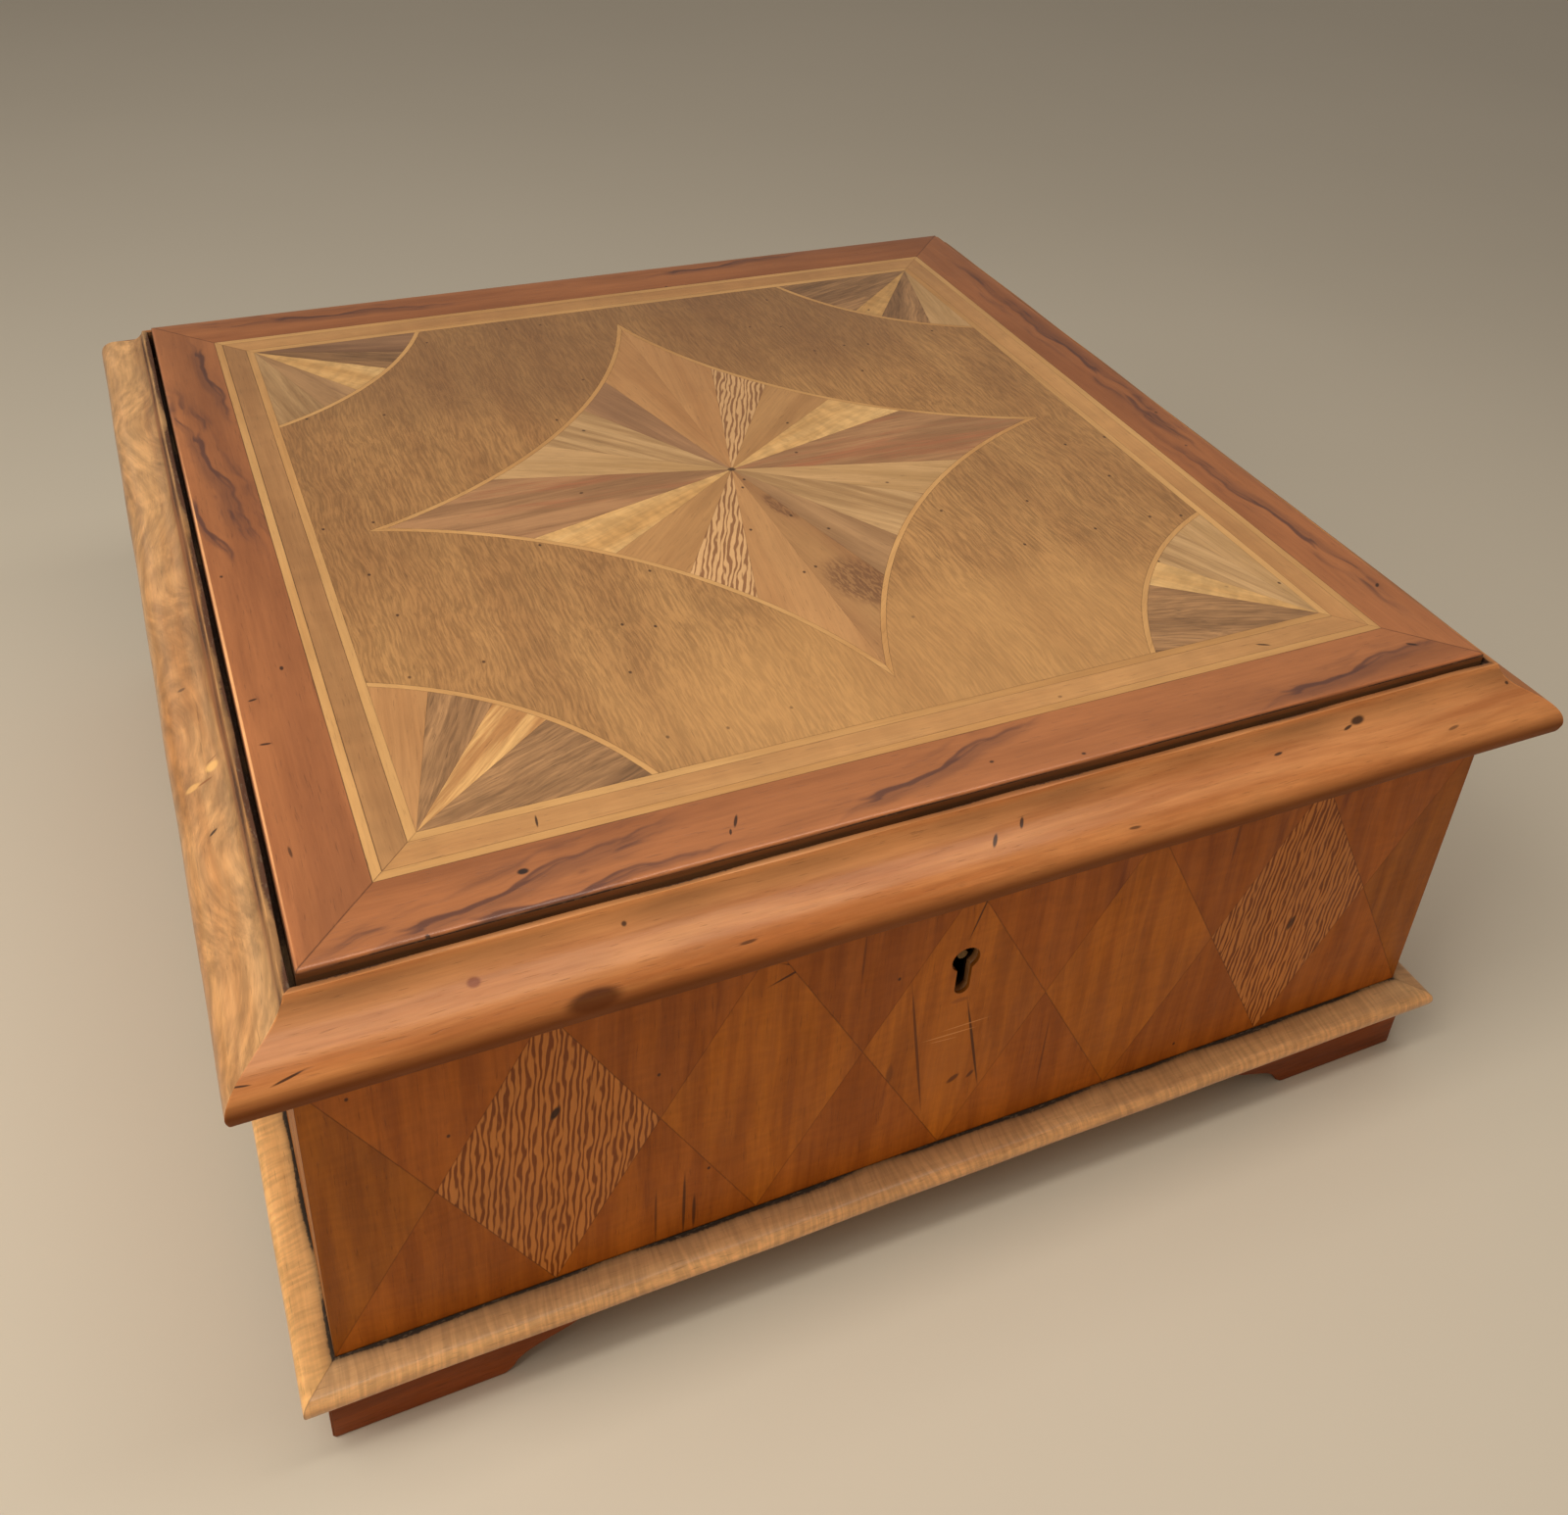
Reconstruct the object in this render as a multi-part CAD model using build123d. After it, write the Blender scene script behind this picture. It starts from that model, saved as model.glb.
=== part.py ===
# Inlaid square wooden box on bracket feet, hinged moulded lid with lock,
# and a lever-wound cylinder music movement standing in its rear compartment.
# Millimetres, +Z up, +X to the right along the lock side, +Y towards the hinges.
# Origin: centre of the box on the plane the feet stand on.
from build123d import *
from math import cos, sin, tan, pi, radians, degrees, acos, atan2, sqrt
import os

os.makedirs("parts", exist_ok=True)

# ------------------------------------------------------------------ case
WALL_OUT = 127.9      # outer face of the wall boards, half width
WALL_IN = 118.7       # inner face of the wall boards
SKIN = 0.8            # thickness of every veneer
BODY_OUT = WALL_OUT + SKIN
WALL_BOTTOM = 15.0
RIM = 99.0            # top of the walls
BASE_TOP = 21.5       # top of the base moulding at the body
BOARD_LOW = 16.0
BOARD_TOP = 22.0      # inside floor of the box
FOOT_OUT = 131.5
FOOT_THICK = 9.0
FOOT_TOP = 15.0
PARTITION_FRONT = -4.0
PARTITION_BACK = 0.0
PARTITION_TOP = 92.0

# ------------------------------------------------------------------- lid
LID_BOTTOM = 99.4
SHELF = 110.4         # rebate that carries the top board
TOP_HALF = 125.0      # half width of the top board
TOP_BOARD = 119.2     # top face of the board, under the veneers
TOP = 120.0
BORDER_IN = 109.85    # inner edge of the mitred border
LINE_OUT = 107.9      # inner edge of the outer light line
LINE_IN = 102.3       # outer edge of the inner light line
FIELD = 100.4         # half width of the inner field
ARC_CENTRE = 130.6    # centres of the concave star edges on the diagonals
ARC_R = 137.7
STRING = 1.3          # width of the light lines
FAN_BACK = 45.2       # fan arc centre, outside the field corner
FAN_R = 82.9
STAR_CUTS = (-13.5, 15.3, 34.5, 56.8, 73.8, 90.0, 105.2, 121.8, 147.5)   # and again half a turn on
FAN_CUTS = {           # angles of the fan joints, from the edge along X at each field corner
    (-1, -1): (36.4, 54.6, 74.3),
    (1, -1): (36.3, 52.7, 75.8),
    (-1, 1): (16.2, 32.1, 54.0, 71.5),
    (1, 1): (39.2, 52.1, 73.9),
}

# --------------------------------------------------------- side parquetry
LOZENGES = 6                             # lozenge widths along one side
LOZENGE = 2 * BODY_OUT / LOZENGES        # pitch, which is a lozenge's width
LOZENGE_LOW = 21.65
LOZENGE_HIGH = 98.15
LOZENGE_MID = (LOZENGE_LOW + LOZENGE_HIGH) / 2

# ----------------------------------------------------------------- hinge
HINGE_Y = 130.2
HINGE_Z = 99.2
HINGE_X = 75.0
LEAF_HALF = 19.0
KNUCKLE_R = 1.9
PIN_R = 0.9
RUN = 0.05            # radial running clearance
LEAF_LOW = 97.8       # under side of the leaf let into the wall
LEAF_HIGH = 100.6     # top of the leaf let into the lid
LEAF_IN = 119.6       # inner edge of both leaves
KNUCKLE_HALF = 6.4    # half length of the middle knuckle
SCREW_Y = 123.6
SCREW_STEP = 13.0
SCREW_LONG = 7.5
SCREW_HEAD = 2.1
SCREW_NECK = 1.0
SCREW_CONE = 1.1      # depth of the countersink

# ------------------------------------------------------------------ lock
KEY_Z = 77.9
KEY_R = 3.15
KEY_SLOT = 3.4
KEY_LOW = 68.3
CASE_X = 20.0
CASE_FRONT = -126.2
CASE_BACK = -118.2
CASE_LOW = 62.0
CASE_TOP = 97.5       # under side of the lock's selvedge plate
PLATE_X = 26.0        # half length of the selvedge plate
CASE_SHEET = 0.8
STAPLE_X = 10.0
STAPLE_HALF = 0.8
BOLT_FRONT = -122.7
BOLT_BACK = -121.5
HOOK_LOW = 92.0
HOOK_TOP = 94.4
LINK_X = 16.8
LINK_TOP = 100.9

# -------------------------------------------------------------- movement
BED_LOW = 28.0
BED_TOP = 32.0
BED_X0 = -106.0
BED_X1 = 100.0
BED_Y0 = 8.0
BED_Y1 = 116.0
POST_X = (-94.0, 92.0)
POST_Y = (16.0, 108.0)

COARSE = 1.0          # module of the barrel gear and its pinion
FINE = 0.6            # module of the great wheel and the governor gears
PINION_TEETH = 12
BARREL_TEETH = 48
GREAT_TEETH = 72
GOV_TEETH = 12
WORM_WHEEL_TEETH = 40
WORM_R = 2.2          # pitch radius of the worm

CYL_Y = 62.0
CYL_Z = 56.0
CYL_R = 20.0
CYL_X0 = -36.0
CYL_X1 = 66.0
CYL_WALL = 1.2
CYL_CAP = 2.0
CYL_RIM = 2.5         # rim left standing round the dished ends
CYL_DISH = 1.0
HUB_R = 6.0
ARBOR_R = 2.5
COLLAR_R = 4.2

BARREL_Y = 91.93      # half the sum of the teeth away from the cylinder axis
BARREL_Z = 58.0
BARREL_R = 22.0
BARREL_IN = 20.8
BARREL_X0 = -97.0
BARREL_X1 = -49.6     # where the drum ends and its gear begins
BARREL_GEAR = -44.0
BARREL_FLOOR = 1.4
BARREL_LIP = 22.9
WIND_R = 3.0          # barrel arbor
CORE_R = 5.0          # its thick middle, where the mainspring hooks on
SPRING_X0 = -93.0
SPRING_X1 = -54.0
SPRING_TURNS = 8
SPRING_THICK = 0.45
SPRING_IN = 6.2
SPRING_OUT = 20.1

BRACKET_X0 = -104.0
BRACKET_X1 = -100.0
RATCHET_X0 = -107.0
RATCHET_X1 = -104.6
RATCHET_TEETH = 24
RATCHET_TIP = 11.0
RATCHET_ROOT = 9.3
CLICK_Y = 107.0
CLICK_Z = 71.0
CLICK_PIN = 1.5
LEVER_X0 = -111.5
LEVER_X1 = -108.4
LEVER_LONG = 55.0
KNOB_R = 3.6

GOV_Y = CYL_Y + (GREAT_TEETH + GOV_TEETH) * FINE / 2
GOV_Z = CYL_Z
GOV_R = 1.5
GOV_X0 = 72.2         # outer faces of the governor's two plates
GOV_X1 = 83.0
GOV_PLATE = 2.0
FLY_X = 77.25
FLY_Y = GOV_Y + WORM_WHEEL_TEETH * FINE / 2 + WORM_R
FLY_R = 1.0
FLY_LOW = 40.6
FLY_HIGH = 83.6
BLADE = 8.0           # half width of the fly's blade
BLADE_LOW = 70.0
BLADE_HIGH = 80.0
COCK_LOW = 81.5       # arm that carries the fly's upper pivot
COCK_HIGH = 84.0

COMB_X0 = CYL_X0 + 0.6
COMB_BACK = 12.0      # edge of the comb away from the cylinder
COMB_TIP = 41.2
COMB_LOW = 55.0
COMB_THICK = 1.6
COMB_SLOT = 0.5
COMB_ROOT = 24.6      # roots of the longest teeth
COMB_RISE = 6.0       # how much nearer the roots of the shortest come
COMB_SCREW_X = (-28, -6, 15, 36, 58)
COMB_SCREW_Y = 17.5
TEETH = 56
PITCH = 1.8

STOP_X = 94.0         # stop lever: its pivot and line
STOP_Y = 40.0
STOP_LOW = 34.5
STOP_HIGH = 36.5
STOP_PIN = 1.5


# --------------------------------------------------------------- helpers
def block(x0, x1, y0, y1, z0, z1):
    middle = Pos((x0 + x1) / 2, (y0 + y1) / 2, (z0 + z1) / 2)
    return middle * Box(x1 - x0, y1 - y0, z1 - z0)


def rod_x(x0, x1, y, z, r):
    return Pos((x0 + x1) / 2, y, z) * Rot(0, 90, 0) * Cylinder(r, x1 - x0)


def rod_y(y0, y1, x, z, r):
    return Pos(x, (y0 + y1) / 2, z) * Rot(90, 0, 0) * Cylinder(r, y1 - y0)


def rod_z(z0, z1, x, y, r):
    return Pos(x, y, (z0 + z1) / 2) * Cylinder(r, z1 - z0)


def along_x(face, x0, x1, y=0.0, z=0.0):
    """Extrude a face drawn in (y, z) from x0 to x1."""
    plane = Plane(origin=(x0, y, z), x_dir=(0, 1, 0), z_dir=(1, 0, 0))
    return plane.location * extrude(face, x1 - x0)


def along_y(face, y0, y1):
    """Extrude a face drawn in (x, z) from y0 to y1."""
    plane = Plane(origin=(0, y1, 0), x_dir=(1, 0, 0), z_dir=(0, -1, 0))
    return plane.location * extrude(face, y1 - y0)


def polygon(points):
    return make_face(Polyline(*points, close=True))


def mitre_wedge(z0, z1):
    """Everything nearer to the +Y side of the square than to the others."""
    flat = polygon([(0, 0), (220, 220), (-220, 220)])
    return Pos(0, 0, z0) * extrude(flat, z1 - z0)


def side(shape, name):
    """Turn a piece made for the back (+Y) side to the named side."""
    turn = {"back": 0, "left": 90, "front": 180, "right": -90}[name]
    return Rot(0, 0, turn) * shape


def frame_piece(face, z0, z1):
    """A mitred length of moulding on the back side; face is (distance, z)."""
    bar = along_x(face, -200, 200)
    return bar & mitre_wedge(z0, z1)


def ring(outer, inner, z0, z1):
    plate = block(-outer, outer, -outer, outer, z0, z1)
    return plate - block(-inner, inner, -inner, inner, z0 - 1, z1 + 1)


def gear_face(teeth, module, phase, play=0.12, add=0.7, ded=0.95):
    """Involute spur gear, one tooth centred on the angle phase (degrees)."""
    rp = teeth * module / 2
    rb = rp * cos(radians(20))
    ra = rp + add * module
    rr = rp - ded * module
    inv0 = tan(radians(20)) - radians(20)
    half = (pi * module / 2 - play / 2) / (2 * rp)
    radii = [rr, rp, ra]
    if rr < rb:
        radii = [rr, rb, (rb + rp) / 2, rp, (rp + ra) / 2, ra]

    def lean(r):
        if r <= rb:
            return half + inv0
        a = acos(rb / r)
        return half + inv0 - (tan(a) - a)

    points = []
    for i in range(teeth):
        mid = radians(phase) + 2 * pi * i / teeth
        for r in radii:
            points.append((r * cos(mid - lean(r)), r * sin(mid - lean(r))))
        for r in reversed(radii):
            points.append((r * cos(mid + lean(r)), r * sin(mid + lean(r))))
    return polygon(points)


def saw_face(teeth, tip, root):
    points = []
    for i in range(teeth):
        a = 2 * pi * i / teeth
        b = a + 2 * pi / teeth * 0.12
        points.append((root * cos(a), root * sin(a)))
        points.append((tip * cos(b), tip * sin(b)))
    return polygon(points)


SIDES = ("front", "back", "left", "right")


def save(shape, name):
    export_step(shape, "parts/" + name + ".step")


# ------------------------------------------------------------------ case
def keyhole_cut(y0, y1, grow):
    round_part = rod_y(y0, y1, 0, KEY_Z, KEY_R + grow)
    half = KEY_SLOT / 2 + grow
    slot = block(-half, half, y0, y1, KEY_LOW + half, KEY_Z)
    foot = rod_y(y0, y1, 0, KEY_LOW + half, half)
    return round_part + slot + foot


def hinge_space(x):
    """Room for one hinge in wall, veneer and lid frame."""
    a = x - LEAF_HALF - 0.1
    b = x + LEAF_HALF + 0.1
    leaves = block(a, b, LEAF_IN - 0.1, BODY_OUT + 0.7, LEAF_LOW, LEAF_HIGH)
    barrel = rod_x(a - 0.2, b + 0.2, HINGE_Y, HINGE_Z, KNUCKLE_R + 0.4)
    return leaves + barrel


def wood_screw(x, y, z, up, grow):
    """Countersunk screw; up = 1 has its head on top."""
    head_r = SCREW_HEAD + grow
    neck_r = SCREW_NECK + grow
    tip = z - up * SCREW_LONG
    shank = rod_z(min(z, tip), max(z, tip), x, y, neck_r)
    cone = Cone(neck_r, head_r, SCREW_CONE)
    if up < 0:
        cone = Cone(head_r, neck_r, SCREW_CONE)
    return shank + Pos(x, y, z - up * SCREW_CONE / 2) * cone


def screw_places():
    return [x + step for x in (-HINGE_X, HINGE_X) for step in (-SCREW_STEP, 0.0, SCREW_STEP)]


def hinge_screws(up, grow):
    z = RIM if up > 0 else LID_BOTTOM
    return [wood_screw(x, SCREW_Y, z, up, grow) for x in screw_places()]


def slotted(screw, up):
    """Cut the drive slot into the head of a hinge screw."""
    z = RIM if up > 0 else LID_BOTTOM
    for x in screw_places():
        screw -= block(x - SCREW_HEAD, x + SCREW_HEAD, SCREW_Y - 0.3, SCREW_Y + 0.3, z - 0.5, z + 0.5)
    return screw


def hinge_spaces():
    return hinge_space(-HINGE_X) + hinge_space(HINGE_X)


def wall(name):
    board = block(-200, 200, WALL_IN, WALL_OUT, WALL_BOTTOM, RIM)
    piece = side(board & mitre_wedge(0, 130), name)
    if name == "back":
        piece -= hinge_spaces()
        for hole in hinge_screws(1, RUN):
            piece -= hole
    if name == "front":
        a = CASE_X + 0.1
        b = PLATE_X + 0.1
        piece -= keyhole_cut(-BODY_OUT - 1, -WALL_IN + 1, 0.0)
        piece -= block(-a, a, CASE_FRONT - 0.1, -WALL_IN + 1, CASE_LOW - 0.1, RIM + 1)
        piece -= block(-b, b, CASE_FRONT - 0.1, -WALL_IN + 1, CASE_TOP - 0.1, RIM + 1)
    return piece


def parquetry_outlines():
    """Outlines (along the side, z) of the lozenges and of the ground between them."""
    outlines = []
    half = LOZENGE / 2
    for i in range(LOZENGES + 1):
        x = -BODY_OUT + LOZENGE * i
        tall = [(x, LOZENGE_LOW), (x + half, LOZENGE_MID), (x, LOZENGE_HIGH), (x - half, LOZENGE_MID)]
        outlines.append(tall)
    for i in range(LOZENGES):
        x = -BODY_OUT + LOZENGE * i
        for tip, edge in ((LOZENGE_LOW, BASE_TOP), (LOZENGE_HIGH, RIM)):
            ground = [(x, edge), (x + LOZENGE, edge), (x + LOZENGE, tip), (x + half, LOZENGE_MID), (x, tip)]
            outlines.append(ground)
    return outlines


def wall_veneer(name):
    reach = BODY_OUT if name in ("front", "back") else WALL_OUT
    sheet = block(-reach, reach, WALL_OUT, BODY_OUT, BASE_TOP, RIM)
    if name == "back":
        return sheet - hinge_spaces()
    pieces = []
    for outline in parquetry_outlines():
        piece = side(sheet & along_y(polygon(outline), WALL_OUT - 1, BODY_OUT + 1), name)
        if name == "front":
            piece -= keyhole_cut(-BODY_OUT - 1, -WALL_IN + 1, 0.0)
        pieces.append(piece)
    return Compound(children=pieces)


def base_section():
    nose = Spline((133.6, 15.0), (135.3, 16.1), (136.0, 17.9), (135.7, 19.4), (134.3, 20.4))
    top = Spline((134.3, 20.4), (131.6, 20.95), (128.7, 21.4))
    rest = Polyline((128.7, 21.4), (WALL_OUT, 21.4), (WALL_OUT, 15.0), (133.6, 15.0))
    return make_face(nose + top + rest)


def base_moulding(name):
    return side(frame_piece(base_section(), 0, 60), name)


def foot_leg():
    """One leg of a bracket foot on the back side, at the left corner."""
    scoop = Spline(
        (97.5, 0.0), (95.7, 1.4), (94.6, 3.2), (92.0, 5.1),
        (87.4, 6.9), (82.9, 8.6), (79.6, 11.4), (78.2, FOOT_TOP),
    )
    rest = Polyline((78.2, FOOT_TOP), (FOOT_OUT, FOOT_TOP), (FOOT_OUT, 0), (97.5, 0))
    return along_y(make_face(scoop + rest), FOOT_OUT - FOOT_THICK, FOOT_OUT)


def foot(turn):
    leg = foot_leg()
    other = Rot(0, 0, -90) * mirror(leg, about=Plane.YZ)
    return Rot(0, 0, turn) * (leg + other)


# ------------------------------------------------------------------- lid
def lid_section():
    cove = Spline((127.4, 118.1), (128.0, 116.7), (129.2, 115.2), (131.0, 114.0), (133.3, 113.1))
    nose = Spline(
        (133.3, 113.1), (136.0, 111.9), (138.0, 110.0),
        (138.9, 107.8), (138.7, 106.0), (137.9, 104.4),
    )
    under = Spline((137.9, 104.4), (135.6, 103.0), (132.4, 102.5), (130.0, 101.6), (128.9, 99.9))
    inner = Polyline(
        (128.9, 99.9), (128.5, LID_BOTTOM), (WALL_IN, LID_BOTTOM), (WALL_IN, SHELF),
        (126.1, SHELF), (126.1, 118.1), (127.4, 118.1),
    )
    return make_face(cove + nose + under + inner)


def lid_moulding(name):
    piece = side(frame_piece(lid_section(), 90, 130), name)
    if name == "back":
        piece -= hinge_spaces()
        for hole in hinge_screws(-1, RUN):
            piece -= hole
    if name == "front":
        a = LINK_X + 0.2
        piece -= block(-a, a, CASE_FRONT + 0.2, -WALL_IN + 0.7, RIM, LINK_TOP)
    return piece


def lid_board():
    return block(-TOP_HALF, TOP_HALF, -TOP_HALF, TOP_HALF, SHELF, TOP_BOARD)


def star_shape(shrink):
    """Four-pointed star with concave edges, as a thin plate."""
    reach = ARC_CENTRE - sqrt((ARC_R + shrink) ** 2 - ARC_CENTRE ** 2)
    flat = polygon([(reach, 0), (0, reach), (-reach, 0), (0, -reach)])
    plate = Pos(0, 0, TOP_BOARD) * extrude(flat, SKIN)
    for sx in (-1, 1):
        for sy in (-1, 1):
            c = ARC_CENTRE
            plate -= rod_z(TOP_BOARD - 1, TOP + 1, sx * c, sy * c, ARC_R + shrink)
    return plate


def fan_shapes(shrink):
    """Quarter fans in the corners of the field, one for each corner in FAN_CUTS."""
    square = block(-FIELD, FIELD, -FIELD, FIELD, TOP_BOARD, TOP)
    c = FIELD + FAN_BACK / sqrt(2)
    return [square & rod_z(TOP_BOARD - 1, TOP + 1, sx * c, sy * c, FAN_R - shrink) for sx, sy in FAN_CUTS]


def cut_wedges(plate, x, y, angles):
    """Cut a plate into the wedges between rays from (x, y) at the given angles in degrees."""
    wedges = []
    for a, b in zip(angles, angles[1:]):
        reach = 2 * FIELD
        rays = [(x + reach * cos(radians(t)), y + reach * sin(radians(t))) for t in (a, (a + b) / 2, b)]
        cutter = Pos(0, 0, TOP_BOARD - 1) * extrude(polygon([(x, y)] + rays), TOP - TOP_BOARD + 2)
        wedges.append(plate & cutter)
    return wedges


def lid_star():
    cuts = list(STAR_CUTS) + [a + 180 for a in STAR_CUTS] + [STAR_CUTS[0] + 360]
    return Compound(children=cut_wedges(star_shape(STRING / 2), 0, 0, cuts))


def lid_fans():
    wedges = []
    for (sx, sy), fan in zip(FAN_CUTS, fan_shapes(STRING / 2)):
        inward = degrees(atan2(0, -sx))
        turn = sx * sy
        angles = [inward + turn * a for a in (0.0,) + FAN_CUTS[sx, sy] + (90.0,)]
        wedges += cut_wedges(fan, sx * FIELD, sy * FIELD, angles)
    return Compound(children=wedges)


def lid_field():
    plate = block(-FIELD, FIELD, -FIELD, FIELD, TOP_BOARD, TOP)
    plate -= star_shape(-STRING / 2)
    for fan in fan_shapes(-STRING / 2):
        plate -= fan
    return plate


def lid_stringing():
    lines = [ring(BORDER_IN, LINE_OUT, TOP_BOARD, TOP), ring(LINE_IN, FIELD, TOP_BOARD, TOP)]
    lines.append(star_shape(-STRING / 2) - star_shape(STRING / 2))
    for outer, inner in zip(fan_shapes(-STRING / 2), fan_shapes(STRING / 2)):
        lines.append(outer - inner)
    return Compound(children=lines)


def lid_border():
    strip = block(-200, 200, BORDER_IN, TOP_HALF, TOP_BOARD, TOP) & mitre_wedge(90, 130)
    return Compound(children=[side(strip, name) for name in SIDES])


# ----------------------------------------------------------------- hinge
def hinge_leaf(x, low, high, spans):
    """One leaf with its knuckles; spans are the knuckle lengths along x."""
    a = x - LEAF_HALF
    b = x + LEAF_HALF
    leaf = block(a, b, LEAF_IN, HINGE_Y, low, high)
    leaf -= rod_x(a - 1, b + 1, HINGE_Y, HINGE_Z, KNUCKLE_R + 0.3)
    for s0, s1 in spans:
        leaf += block(x + s0, x + s1, HINGE_Y - 3, HINGE_Y, low, high)
        leaf += rod_x(x + s0, x + s1, HINGE_Y, HINGE_Z, KNUCKLE_R)
    return leaf - rod_x(a - 1, b + 1, HINGE_Y, HINGE_Z, PIN_R + RUN)


def hinge_leaves(low, high, spans, up):
    leaves = []
    for x in (-HINGE_X, HINGE_X):
        leaf = hinge_leaf(x, low, high, spans)
        for hole in hinge_screws(up, RUN):
            leaf -= hole
        leaves.append(leaf)
    return Compound(children=leaves)


def hinge_pins():
    pins = []
    for x in (-HINGE_X, HINGE_X):
        pins.append(rod_x(x - LEAF_HALF, x + LEAF_HALF, HINGE_Y, HINGE_Z, PIN_R))
    return Compound(children=pins)


def hinge_screw_set(up):
    return Compound(children=[slotted(screw, up) for screw in hinge_screws(up, 0.0)])


# ------------------------------------------------------------------ lock
def lock_case():
    t = CASE_SHEET
    shell = block(-CASE_X, CASE_X, CASE_FRONT, CASE_BACK, CASE_LOW, CASE_TOP)
    shell -= block(-CASE_X + 1, CASE_X - 1, CASE_FRONT + t, CASE_BACK - t, CASE_LOW + 1, CASE_TOP)
    shell -= keyhole_cut(CASE_FRONT - t, CASE_FRONT + 4 * t, 0.2)
    plate = block(-PLATE_X, PLATE_X, CASE_FRONT, CASE_BACK, CASE_TOP, RIM)
    for x in (-STAPLE_X, STAPLE_X):
        a = STAPLE_HALF + 0.6
        plate -= block(x - a, x + a, CASE_FRONT + 1, CASE_BACK - 1, CASE_TOP - 1, RIM + 1)
    pin = rod_y(CASE_FRONT - 1, CASE_BACK - t, 0, KEY_Z, 1.1)
    return shell + plate + pin


def lock_bolt():
    """Sliding bar with a notch for the key and two hooks for the staples."""
    bar = block(-17, 12, BOLT_FRONT, BOLT_BACK, 83.0, 88.0)
    bar -= rod_y(BOLT_FRONT - 1, BOLT_BACK + 1, -2, 82.4, 2.4)
    for start in (-17.0, 3.2):
        bar += block(start, start + 2.2, BOLT_FRONT, BOLT_BACK, 87.0, HOOK_TOP)
        bar += block(start + 2.2, start + 5.6, BOLT_FRONT, BOLT_BACK, HOOK_LOW, HOOK_TOP)
    return bar


def lock_link_plate():
    """Plate let into the lid, with two staples that drop into the lock."""
    plate = block(-LINK_X, LINK_X, CASE_FRONT + 0.4, CASE_BACK - 0.7, LID_BOTTOM, LINK_TOP)
    for x in (-STAPLE_X, STAPLE_X):
        plate += block(x - STAPLE_HALF, x + STAPLE_HALF, -124.6, -119.8, 90.6, 100.0)
        plate -= block(x - 2, x + 2, BOLT_FRONT - 0.6, BOLT_BACK + 0.6, HOOK_LOW - 0.5, HOOK_TOP + 0.5)
    return plate


# -------------------------------------------------------------- movement
def bedplate():
    plate = block(BED_X0, BED_X1, BED_Y0, BED_Y1, BED_LOW, BED_TOP)
    plate = fillet(plate.edges().filter_by(Axis.Z), 4)
    for x in POST_X:
        for y in POST_Y:
            plate -= rod_z(BED_LOW - 1, BED_TOP + 1, x, y, 2.2)
    return plate


def bedplate_posts():
    """Four feet with their screws, and the stud that the stop lever turns on."""
    posts = []
    for x in POST_X:
        for y in POST_Y:
            post = rod_z(BOARD_TOP, BED_LOW, x, y, 5.0)
            screw = rod_z(BED_LOW - 1, BED_TOP, x, y, 2.1)
            head = rod_z(BED_TOP, BED_TOP + 2.2, x, y, 3.6)
            head -= block(x - 4, x + 4, y - 0.45, y + 0.45, BED_TOP + 1.2, BED_TOP + 3)
            posts.append(post + screw + head)
    posts.append(rod_z(BED_TOP, STOP_HIGH + 1.9, STOP_X, STOP_Y, STOP_PIN))
    return Compound(children=posts)


def bridge(x0, x1, y, z, half, bore, foot_half):
    """Bearing bracket with a rounded top and a footed base."""
    body = block(x0, x1, y - half, y + half, BED_TOP, z)
    body += rod_x(x0, x1, y, z, half)
    body += block(x0, x1, y - foot_half, y + foot_half, BED_TOP, BED_TOP + 4)
    return body - rod_x(x0 - 1, x1 + 1, y, z, bore)


def cylinder_bridges():
    left = bridge(-56.0, -50.2, CYL_Y, CYL_Z, 5.5, ARBOR_R + RUN, 5.5)
    right = bridge(80.0, 86.0, CYL_Y, CYL_Z, 6.0, ARBOR_R + RUN, 9.0)
    return Compound(children=[left, right])


def cylinder():
    """Thin tube with dished end caps; the pins are left out."""
    inside = CYL_R - CYL_WALL
    tube = rod_x(CYL_X0, CYL_X1, CYL_Y, CYL_Z, CYL_R)
    tube -= rod_x(CYL_X0 + CYL_CAP, CYL_X1 - CYL_CAP, CYL_Y, CYL_Z, inside)
    for x0, x1 in ((CYL_X0 - 1, CYL_X0 + CYL_DISH), (CYL_X1 - CYL_DISH, CYL_X1 + 1)):
        dish = rod_x(x0, x1, CYL_Y, CYL_Z, CYL_R - CYL_RIM)
        tube -= dish - rod_x(x0 - 1, x1 + 1, CYL_Y, CYL_Z, HUB_R)
    return tube - rod_x(CYL_X0 - 1, CYL_X1 + 1, CYL_Y, CYL_Z, ARBOR_R)


def cylinder_arbor():
    return rod_x(-59.0, 88.5, CYL_Y, CYL_Z, ARBOR_R)


def mesh_angle():
    """Direction from the cylinder axis to the barrel axis, in degrees from +Y."""
    return degrees(atan2(BARREL_Z - CYL_Z, BARREL_Y - CYL_Y))


def cylinder_pinion():
    face = gear_face(PINION_TEETH, COARSE, mesh_angle())
    gear = along_x(face, BARREL_X1, BARREL_GEAR + 0.2, CYL_Y, CYL_Z)
    collar = rod_x(BARREL_GEAR + 0.2, CYL_X0 - 0.1, CYL_Y, CYL_Z, COLLAR_R)
    return gear + collar - rod_x(BARREL_X1 - 1, CYL_X0 + 1, CYL_Y, CYL_Z, ARBOR_R)


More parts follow.
